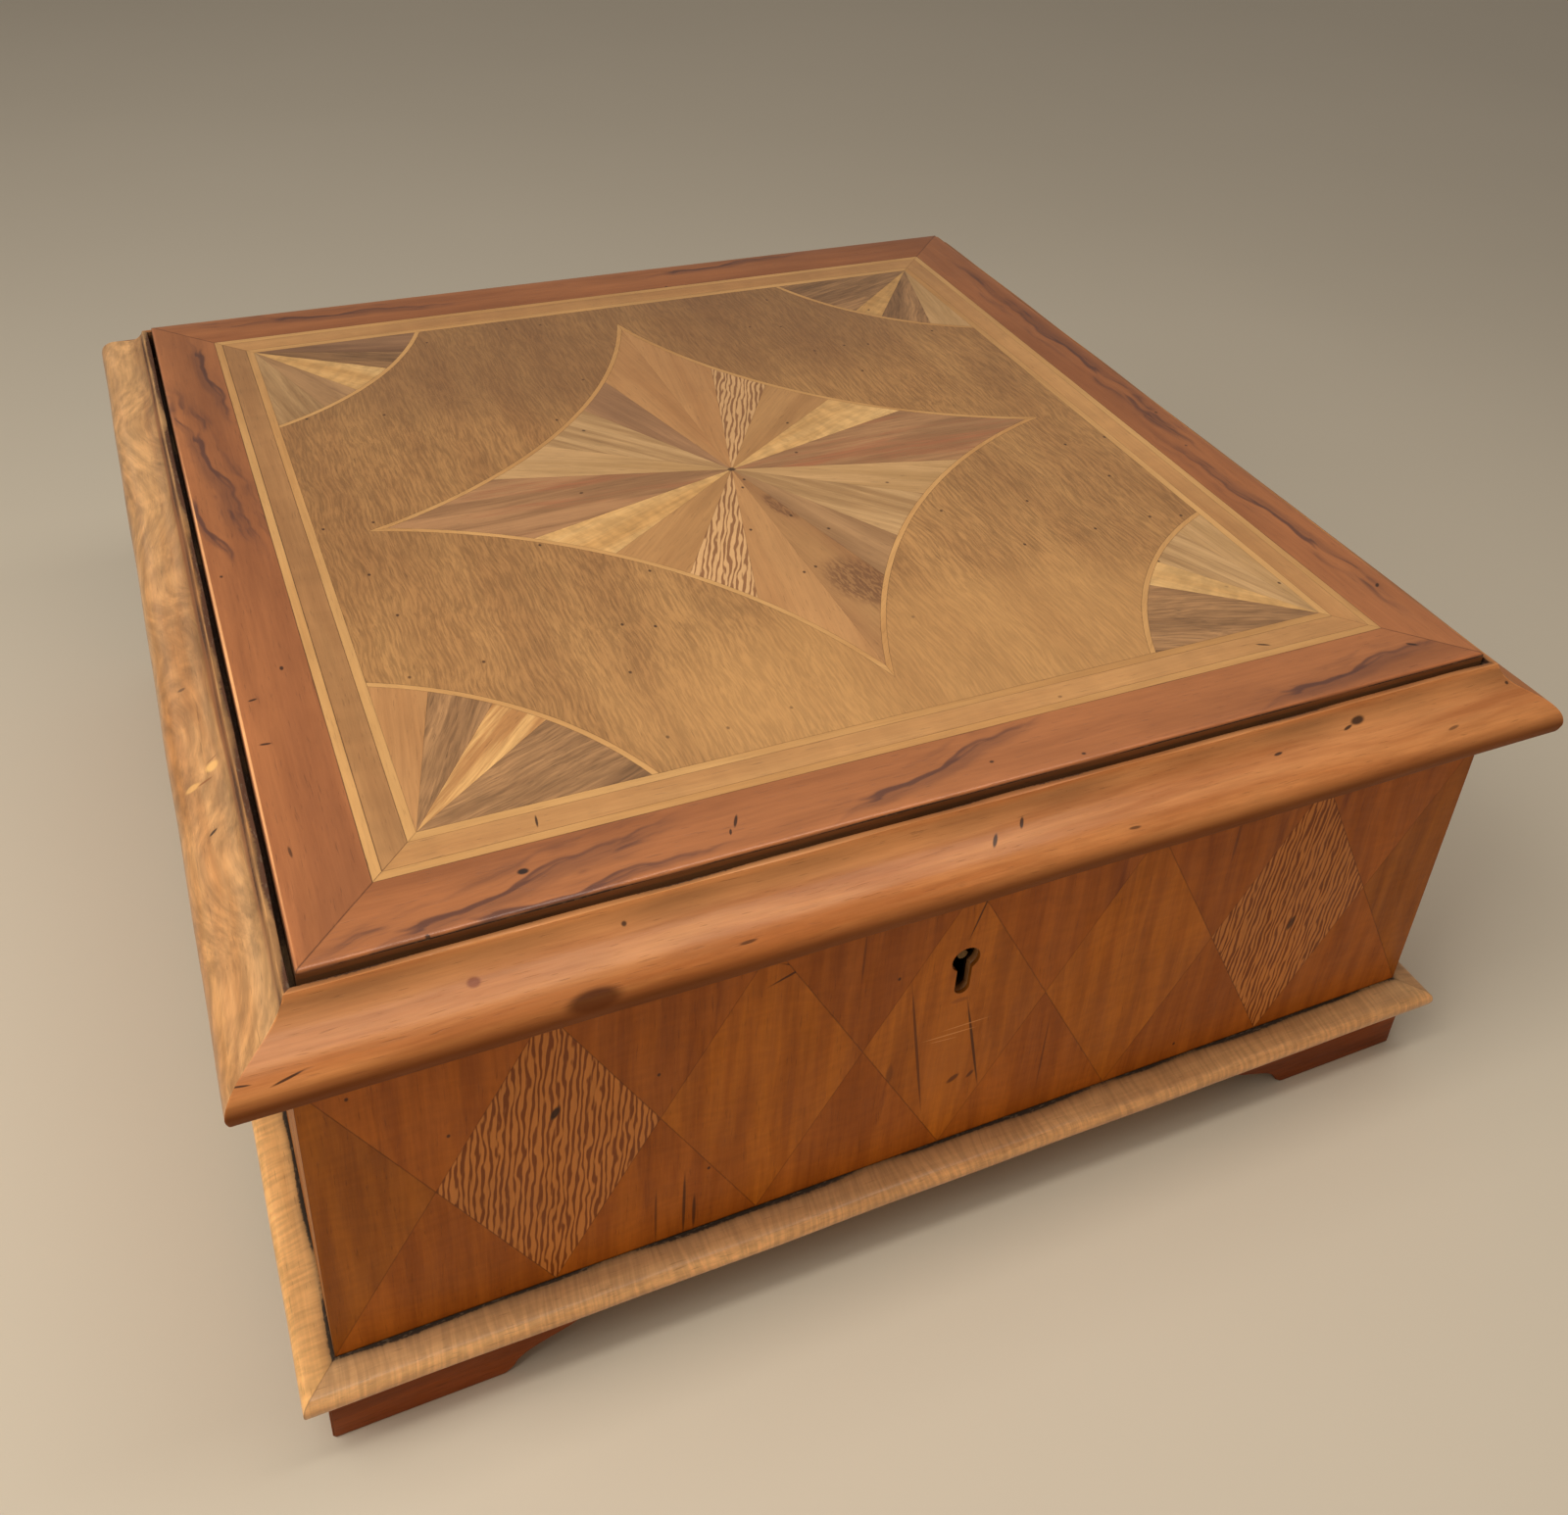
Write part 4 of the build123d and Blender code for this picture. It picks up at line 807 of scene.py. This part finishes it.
STAR = (  # where each wedge starts, in degrees from +X, and its two opposite woods
    (-13.5, "russet", "russet"), (15.3, "satin", "satin"), (34.5, "amber", "amber"), (56.8, "lace", "lace"),
    (73.8, "orange", "orange"), (90.0, "orange", "rayed"), (105.2, "umber", "tan"),
    (121.8, "olive", "olive"), (147.5, "straw", "straw"),
)
FANS = {  # joint angles from the corner's edge along X, and the woods between them
    (-1, -1): ((36.4, 54.6, 74.3), ("dusky", "striped", "dusky", "orange")),
    (1, -1): ((36.3, 52.7, 75.8), ("dusky", "satin", "olive", "straw")),
    (-1, 1): ((16.2, 32.1, 54.0, 71.5), ("walnut", "dusky", "satin", "tan", "grey")),
    (1, 1): ((39.2, 52.1, 73.9), ("dusky", "satin", "dusky", "straw")),
}
TURNS = {"back": 0, "left": 90, "front": 180, "right": 270}  # from the back round the lid, in degrees


def turned(points, degrees):
    c, s = math.cos(math.radians(degrees)), math.sin(math.radians(degrees))
    return [(x * c - y * s, x * s + y * c) for x, y in points]


def make_star():
    ends = [start for start, _, _ in STAR[1:]] + [STAR[0][0] + 180]
    for half in (0, 1):
        for k, (start, *woods) in enumerate(STAR):
            a0, a1 = start + 180 * half, ends[k] + 180 * half
            outline = [(0.0, 0.0)] + star_points(a0, a1, ARC_R + STRING / 2)
            make(plate([outline], on_lid, (a0 + a1) / 2), f"star_{woods[half]}_{2 * k + half + 1}",
                 woods[half], "lid", "lid_star", joint=0.12)
    for k in range(4):
        outer = star_points(90 * k, 90 * k + 90, ARC_R - STRING / 2)
        inner = star_points(90 * k, 90 * k + 90, ARC_R + STRING / 2)
        make(plate([outer + inner[::-1]], on_lid, 90 * k - 45, soft=0.12), f"star_line_{k + 1}", "string",
             "lid", "lid_stringing", joint=0.45)


def fan_point(sx, sy, angle, r):
    """Point of a fan's arc seen from its corner at this angle from the edge along X."""
    lean = FAN_BACK * math.cos(math.radians(angle - 45))
    far = -lean + math.sqrt(lean * lean + r * r - FAN_BACK ** 2)
    x, y = polar(-far, angle, FIELD, FIELD)
    return (sx * x, sy * y)


def fan_arc(sx, sy, a0, a1, r):
    return [fan_point(sx, sy, a, r) for a in sweep(a0, a1, 4)]


def make_fans():
    for (sx, sy), (cuts, species) in FANS.items():
        label = ("back" if sy > 0 else "front") + ("_right" if sx > 0 else "_left")
        for a0, a1, wood_name in zip((0.0,) + cuts, cuts + (90.0,), species):
            outline = [(sx * FIELD, sy * FIELD)] + fan_arc(sx, sy, a0, a1, FAN_R - STRING / 2)
            middle = math.radians((a0 + a1) / 2)
            grain = math.degrees(math.atan2(-sy * math.sin(middle), -sx * math.cos(middle)))
            make(plate([outline], on_lid, grain), f"fan_{label}_{round(a0)}_{wood_name}", wood_name, "lid",
                 "lid_fans", joint=0.12)
        line = fan_arc(sx, sy, 0, 90, FAN_R + STRING / 2) + fan_arc(sx, sy, 0, 90, FAN_R - STRING / 2)[::-1]
        make(plate([line], on_lid, -45 * sx * sy, soft=0.12), f"fan_line_{label}", "string", "lid",
             "lid_stringing", joint=0.45)


def make_field():
    outline = []
    for sx, sy in ((1, -1), (1, 1), (-1, 1), (-1, -1)):
        curve = fan_arc(sx, sy, 0, 90, FAN_R + STRING / 2)
        outline += curve if sx * sy < 0 else curve[::-1]
    hole = star_points(0, 359.9, ARC_R - STRING / 2)[:-1]
    make(plate([outline, hole], on_lid, 90), "field", "field", "lid", "lid_field", joint=0.2)


def make_lid_lines():
    strips = (
        ("outer_line", BORDER_IN, LINE_OUT, "string", "stringing_veneer", "lid_stringing"),
        ("band", LINE_OUT, LINE_IN, "band", "banding_veneer", "lid_banding"),
        ("inner_line", LINE_IN, FIELD, "string", "stringing_veneer", "lid_stringing"),
    )
    for side, turn in TURNS.items():
        for label, outer, inner, look, slot, node in strips:
            strip = turned([(-inner, inner), (inner, inner), (outer, outer), (-outer, outer)], turn)
            dark = 0.75 if side == "left" and label != "inner_line" else 0.3
            if side == "left" and look == "band":
                look = "band_left"
            make(plate([strip], on_lid, turn, soft=0.16), f"lid_{label}_{side}", look, "lid", node,
                 joint=dark)
        # wear values across the border: the outer arris's high value is a rubbed edge with a painted highlight;
        # the low values down its outer face and at its inner edge are dirt and painted shade in the groove
        profile = [
            (BORDER_IN + GAP, TOP_BOARD, 0.0), (BORDER_IN + GAP, TOP - 0.02, -0.5),
            (BORDER_IN + 0.2, TOP, 0.0), (TOP_HALF - 3.0, TOP, 0.0), (TOP_HALF - 0.8, TOP, 0.3),
            (TOP_HALF - 0.3, TOP - 0.09, 1.0), (TOP_HALF - 0.06, TOP - 0.32, -0.1), (TOP_HALF, TOP_BOARD, -1.0),
        ]
        make(mitred_bar(side, profile, 40), f"lid_border_{side}", f"border_{side}", "lid",
             "lid_border", joint=0.7)


# ------ lid moulding
def make_lid_mouldings():
    # wear values along the profile: above 0 on the ridge and nose the wood is paler, as if rubbed; below 0,
    # under the nose, inside and down the groove, it is darkened by dirt and painted shade
    cove = [(127.4, 118.15, 0.3), (127.95, 116.8, -0.3), (129.2, 115.2, -0.22), (131.0, 114.0, -0.08),
            (133.3, 113.1, 0.05), (136.0, 111.9, 0.15), (138.0, 110.0, 0.3), (138.85, 107.8, -0.1),
            (138.7, 106.0, -0.14), (137.9, 104.4, -0.16), (135.6, 103.0, -0.2), (132.4, 102.5, -0.25),
            (130.0, 101.6, -0.35), (128.9, 99.9, -0.7)]
    inside = [(128.5, 99.4, -0.5), (WALL_IN + 0.2, 99.4, 0.0), (WALL_IN, 99.6, 0.0), (WALL_IN, 110.4, 0.0),
              (126.1, 110.4, -1.0), (126.1, 117.9, -0.8), (126.2, 118.1, -0.62), (126.6, 118.2, -0.42),
              (127.1, 118.2, -0.2)]
    looks = {"front": "lid_front", "left": "lid_curly", "right": "lid_plain", "back": "lid_plain"}
    for side, look in looks.items():
        soiled_and_shaded = 0.38 if side == "left" else 0.0   # dirt and painted shade darken the groove beside the border more on the left
        profile = [(out, z, wear_and_light - soiled_and_shaded * (out < 128.1 and z > 116.5))
                   for out, z, wear_and_light in smooth_path(cove, 4) + inside]
        shape = mitred_bar(side, profile, 64, sway=0.12, seed="lid", rub_and_highlight=1.1)
        obj = make(shape, f"{side}_moulding", look, "lid", f"{side}_lid_moulding",
                   joint=0.1)
        if side == "back":
            cut_hinge_spaces(obj)


def cut_hinge_spaces(obj):
    """Take the room for the two hinges out of a piece, as the CAD back moulding has it."""
    low, high = box_mm("hinge_leaves_lid")
    length = 2 * (corner("hinge_pins", 1, 0) - HINGE_X)
    leaf_room = (low.y - 0.1, 129.4, corner("hinge_leaves_case", 0, 2), high.z)
    knuckle_room = (127.9, 133.0, 96.0, 101.6)
    made = bmesh.new()
    for x in (-HINGE_X, HINGE_X):
        for y0, y1, z0, z1 in (leaf_room, knuckle_room):
            for v in bmesh.ops.create_cube(made, size=1.0)["verts"]:
                v.co = Vector((x + v.co.x * (length + 0.4), (y0 + y1) / 2 + v.co.y * (y1 - y0),
                               (z0 + z1) / 2 + v.co.z * (z1 - z0))) * MM
    cutter = add_object("hinge_space", mesh_from("hinge_space", made))
    cut = obj.modifiers.new("hinges", "BOOLEAN")
    cut.operation = "DIFFERENCE"
    cut.solver = "EXACT"
    cut.use_self = True
    cut.object = cutter
    bpy.context.view_layer.update()
    done = bpy.data.meshes.new_from_object(obj.evaluated_get(bpy.context.evaluated_depsgraph_get()))
    obj.modifiers.clear()
    obj.data = done
    bpy.data.objects.remove(cutter)


# ------ base and feet
def make_base_mouldings():
    # wear values along the profile: the nose's high values are a painted highlight along it; the low values
    # under the nose and at the joint with the case are dirt and painted shade
    curve = [(129.5, 21.3, -0.55), (130.3, 21.2, -0.2), (131.6, 20.95, 0.0), (134.3, 20.4, 0.4),
             (135.1, 20.0, 1.3), (135.7, 19.4, 1.5), (136.0, 17.9, 0.6), (135.3, 16.1, 0.0),
             (133.7, 15.05, -0.3)]
    inside = [(WALL_OUT + 0.02, 15.05, -0.3), (WALL_OUT + 0.02, 21.3, -1.0), (BODY_OUT, 21.38, -1.0),
              (129.15, 21.36, -0.85)]
    for side in SIDES:
        look = "base_curly" if side == "left" else "base_front"
        shape = mitred_bar(side, smooth_path(curve, 4) + inside, 64, sway=0.10, seed="base", rub_and_highlight=0.3)
        make(shape, f"{side}_plinth", look, "case", f"{side}_base_moulding", joint=0.4)


def make_feet():
    """Bracket feet: two mitred legs at each corner, each with its cyma scoop."""
    scoop = smooth_path([(97.5, 0.0), (95.7, 1.4), (94.6, 3.2), (92.0, 5.1), (87.4, 6.9), (82.9, 8.6),
                         (79.6, 11.4), (78.2, FOOT_TOP - 0.05)], 3)
    outline = scoop + [(FOOT_OUT, FOOT_TOP - 0.05), (FOOT_OUT, 0.0)]
    corners = (("front_left", "front", "left"), ("front_right", "right", "front"),
               ("back_right", "back", "right"), ("back_left", "left", "back"))
    for label, starts, ends in corners:
        for side, hand in ((starts, -1), (ends, 1)):
            def place(a, b, depth, side=side, hand=hand):
                mitre = depth if a > FOOT_OUT - 2 else 0.0
                return on_side(side, hand * (a - mitre), FOOT_OUT - depth, b)
            shape = plate([outline], place, 0, FOOT_THICK, soft=0.45, drop=0.35, edge_wear=0.3, gap=0.0)
            make(shape, f"foot_{label}_{side}", "foot", "case", f"foot_{label}")


# ------ sides' parquetry
def keyhole():
    """Round hole over a slot with a round foot."""
    half = math.degrees(math.asin(KEY_SLOT / KEY_R))
    bow = [polar(KEY_R, a, 0, KEY_Z) for a in sweep(-90 + half, 270 - half, 12)]
    foot = [polar(KEY_SLOT, a, 0, KEY_LOW + KEY_SLOT) for a in sweep(180, 360, 15)]
    return bow + foot


def clip(points, reach):
    """The part of a convex outline between -reach and reach."""
    for sign in (-1, 1):
        end = sign * reach
        kept = []
        for (x0, z0), (x1, z1) in zip(points, points[1:] + points[:1]):
            inside0, inside1 = sign * x0 <= reach, sign * x1 <= reach
            if inside0:
                kept.append((x0, z0))
            if inside0 != inside1:
                kept.append((end, z0 + (end - x0) / (x1 - x0) * (z1 - z0)))
        points = kept
    return points


def make_parquetry(side):
    reach = BODY_OUT if side == "front" else WALL_OUT - GAP
    half = LOZENGE / 2

    def place(a, b, depth):
        return on_side(side, a, BODY_OUT - depth, b)

    def lay(outline, turn, name, look):
        loops = [clip(outline, reach)] + [keyhole()] * (look == "keyed")
        make(plate(loops, place, turn), f"{side}_{name}", look, "case", f"{side}_veneer",
             joint=0.4)

    looks = ("golden", "lace_side", "golden", "golden", "golden", "lace_side", "golden")
    if side == "front":
        looks = ("dim", "lace_side", "scratched", "keyed", "golden", "lace_side", "dim")
    for i, look in enumerate(looks):
        x = -BODY_OUT + LOZENGE * i
        tall = [(x, LOZENGE_LOW), (x + half, LOZENGE_MID), (x, LOZENGE_HIGH), (x - half, LOZENGE_MID)]
        lay(tall, 86 if look == "lace_side" else 90, f"lozenge_{i + 1}", look)
    for i in range(LOZENGES):
        x = -BODY_OUT + LOZENGE * i
        for label, tip, edge in (("low", LOZENGE_LOW, BASE_TOP), ("high", LOZENGE_HIGH, RIM)):
            ground = [(x, edge), (x + LOZENGE, edge), (x + LOZENGE, tip), (x + half, LOZENGE_MID), (x, tip)]
            lay(ground, 90, f"ground_{label}_{i + 1}", "ground")


# ------ movement
TEETH = 56  # of the comb; the pins stand in the tracks of their tips
PITCH = 1.8  # from tooth to tooth
PROUD = 0.7  # how far the pins stand out of the cylinder
BEATS = 48  # in one turn of the cylinder
BUSY = 0.27  # the share of the beats on which a tooth sounds


def make_cylinder():
    """The pinned cylinder: turned tube, dished ends, and pins in the tracks of the comb's teeth."""
    low, high = box_mm("cylinder")
    axis_y, axis_z = (low.y + high.y) / 2, (low.z + high.z) / 2
    r = (high.z - low.z) / 2
    rim, hub, hole, dish = r - 2.5, 6.0, 2.5, 1.0
    shape = Shape()

    def ring(x, radius, n=96):
        angles = [2 * math.pi * k / n for k in range(n)]
        return [shape.add((x, axis_y + radius * math.cos(a), axis_z + radius * math.sin(a)), (x, 0, 0))
                for a in angles]

    profile = [(low.x + dish, hole), (low.x, hole), (low.x, hub), (low.x + dish, hub), (low.x + dish, rim),
               (low.x, rim), (low.x, r - 0.4), (low.x + 0.4, r)]
    profile += [(low.x + high.x - x, radius) for x, radius in reversed(profile)]
    shape.join([ring(x, radius) for x, radius in profile])
    rng = random.Random(1886)
    first = low.x + 0.6 + PITCH / 2
    for tooth in range(TEETH):
        for beat in range(BEATS):
            if rng.random() > BUSY:
                continue
            a = 2 * math.pi * (beat + rng.choice((0, 0, 0.5))) / BEATS
            pin(shape, Vector((first + PITCH * tooth + rng.uniform(-0.12, 0.12), axis_y, axis_z)), a, r)
    make(shape, "pinned_cylinder", "bright_brass", "cylinder", "cylinder", sharp=35)


def pin(shape, centre, angle, r):
    """One short tapered pin standing on the cylinder, whose axis passes through the centre."""
    out = Vector((0, math.cos(angle), math.sin(angle)))
    side = Vector((0, -math.sin(angle), math.cos(angle)))
    rings = []
    for height, radius in ((-0.2, 0.26), (PROUD - 0.12, 0.24), (PROUD, 0.15)):
        foot = centre + out * (r + height)
        angles = [math.pi * k / 3 for k in range(6)]
        rings.append([shape.add(foot + Vector((radius * math.cos(a), 0, 0)) + side * radius * math.sin(a),
                                (centre.x, 0, 0)) for a in angles])
    shape.join(rings, closed=True)


def make_worm():
    """The worm's thread on the fly arbor, in mesh with the governor wheel's 40 teeth."""
    low, high = box_mm("fly")
    cx, cy = (low.x + high.x) / 2, (low.y + high.y) / 2
    z0, z1, lead, steps = 47.6, 65.4, math.pi * 0.6, 28
    root, depth = 1.3, 1.1
    shape = Shape()
    rings = []
    count = round((z1 - z0) / lead * steps)
    for i in range(count + 1):
        a = 2 * math.pi * i / steps
        z = z0 + lead * i / steps
        crest = root + depth * min(1.0, i / 14, (count - i) / 14)
        rings.append([shape.add((cx + r * math.cos(a), cy + r * math.sin(a), z + rise), (0, 0, z))
                      for r, rise in ((root, -0.62), (crest, -0.2), (crest, 0.2), (root, 0.62))])
    shape.join(rings, closed=True)
    make(shape, "worm_thread", "steel", "fly", None, sharp=30)


# ------ CAD nodes' looks
def dress(node, look, along="x", bevel=0.0):
    """Give a CAD node its material, its grain direction and, if asked, softened arrises."""
    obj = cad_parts[node]
    obj.data.materials.clear()
    obj.data.materials.append(LOOKS[look])
    order = {"x": (0, 1, 2), "y": (1, 0, 2)}[along]
    shift = [chance(node).uniform(-900, 900) for _ in range(3)]
    values = [v.co[k] / MM + s for v in obj.data.vertices for k, s in zip(order, shift)]
    obj.data.attributes.new("grain", "FLOAT_VECTOR", "POINT").data.foreach_set("vector", values)
    if bevel:
        weld = obj.modifiers.new("weld", "WELD")
        weld.merge_threshold = 0.002 * MM
        soften = obj.modifiers.new("soften", "BEVEL")
        soften.width = bevel * MM
        soften.segments = 2
        soften.limit_method = "ANGLE"
        soften.angle_limit = math.radians(50)
        soften.harden_normals = True


DRESS = (  # look and nodes, then the grain's direction and the softened arris, if any
    ("case", "front_wall back_wall", "x", 0.3),
    ("case", "left_wall right_wall", "y", 0.3),
    ("case", "bottom_board"),
    ("case", "partition", "x", 0.6),
    ("board", "lid_board"),
    ("back", "back_veneer"),
    ("brass", "hinge_leaves_case hinge_leaves_lid hinge_pins hinge_screws_case hinge_screws_lid"),
    ("lock_brass", "lock_case lock_link_plate", "x", 0.15),
    ("iron", "bedplate", "x", 0.5),
    ("iron", "comb_base", "x", 0.4),
    ("bright_brass", "cylinder_bridges barrel_brackets governor_frame stop_lever", "x", 0.25),
    ("bright_brass", "great_wheel spring_barrel barrel_cover governor_arbor"),
    ("steel", "lock_bolt bedplate_posts cylinder_arbor cylinder_pinion barrel_arbor"),
    ("steel", "ratchet_wheel click fly"),
    ("steel", "winding_lever", "y", 0.4),
    ("spring_steel", "mainspring"),
    ("comb_steel", "comb"),
    ("blued", "comb_screws"),
)


# ------ the studio
def make_floor():
    made = bmesh.new()
    bmesh.ops.create_grid(made, x_segments=8, y_segments=8, size=12.0)
    mesh = mesh_from("floor", made)
    mesh.materials.append(plain_floor())
    floor = add_object("floor", mesh)


def area_light(name, place, aim, size, power, colour, spread=180.0):
    data = bpy.data.lights.new(name, "AREA")
    data.spread = math.radians(spread)
    data.shape = "RECTANGLE"
    data.size, data.size_y = size
    data.energy = power
    data.color = colour
    light = add_object(name, data)
    light.location = place
    light.rotation_mode = "QUATERNION"
    light.rotation_quaternion = (Vector(aim) - Vector(place)).to_track_quat("-Z", "Y")


def make_lights():
    """Places, aims and sizes in metres, powers in watts."""
    area_light("window", (-0.53, -0.20, 0.66), (0, 0, 0.1), (0.5, 0.5), 3.1, (1.0, 0.95, 0.86))
    area_light("strip", (-0.05, -0.15, 0.52), (-0.05, -0.13, 0.12), (0.6, 0.12), 1.1, (1.0, 0.95, 0.85))
    area_light("ceiling", (0.5, 0.6, 1.7), (0, 0, 0.05), (1.6, 1.6), 1.3, (1.0, 0.97, 0.94))
    area_light("table_glow", (0.05, -1.25, 0.20), (0, 0, 0.05), (1.4, 0.2), 0.42, (1.0, 0.46, 0.05), 75.0)
    area_light("sheen", (-0.62, 0.62, 0.42), (-0.13, 0, 0.11), (0.4, 0.4), 0.25, (1.0, 0.95, 0.88))
    world = bpy.data.worlds.new("studio")
    world.use_nodes = True
    back = world.node_tree.nodes["Background"]
    back.inputs["Color"].default_value = (0.92, 0.85, 0.76, 1.0)
    back.inputs["Strength"].default_value = 0.24
    bpy.context.scene.world = world


def make_camera():
    """A station above the front left corner, looking down at the lid."""
    data = bpy.data.cameras.new("camera")
    data.sensor_width = 36.0
    data.lens = 36.06
    data.shift_y = -0.155
    camera = add_object("camera", data)
    camera.location = (-0.1332, -0.3105, 0.3153)
    camera.rotation_euler = Euler([math.radians(a) for a in (58.373, -3.053, -23.659)])
    bpy.context.scene.camera = camera


# ------ build
LOOKS = palette()
make_camera()
make_star()
make_fans()
make_field()
make_lid_lines()
make_lid_mouldings()
make_base_mouldings()
make_feet()
for wall in ("front", "left", "right"):
    make_parquetry(wall)
make_cylinder()
make_worm()
for look, nodes, *how in DRESS:
    for node in nodes.split():
        dress(node, look, *how)
make_floor()
make_lights()
bpy.context.scene.view_settings.view_transform = "Standard"
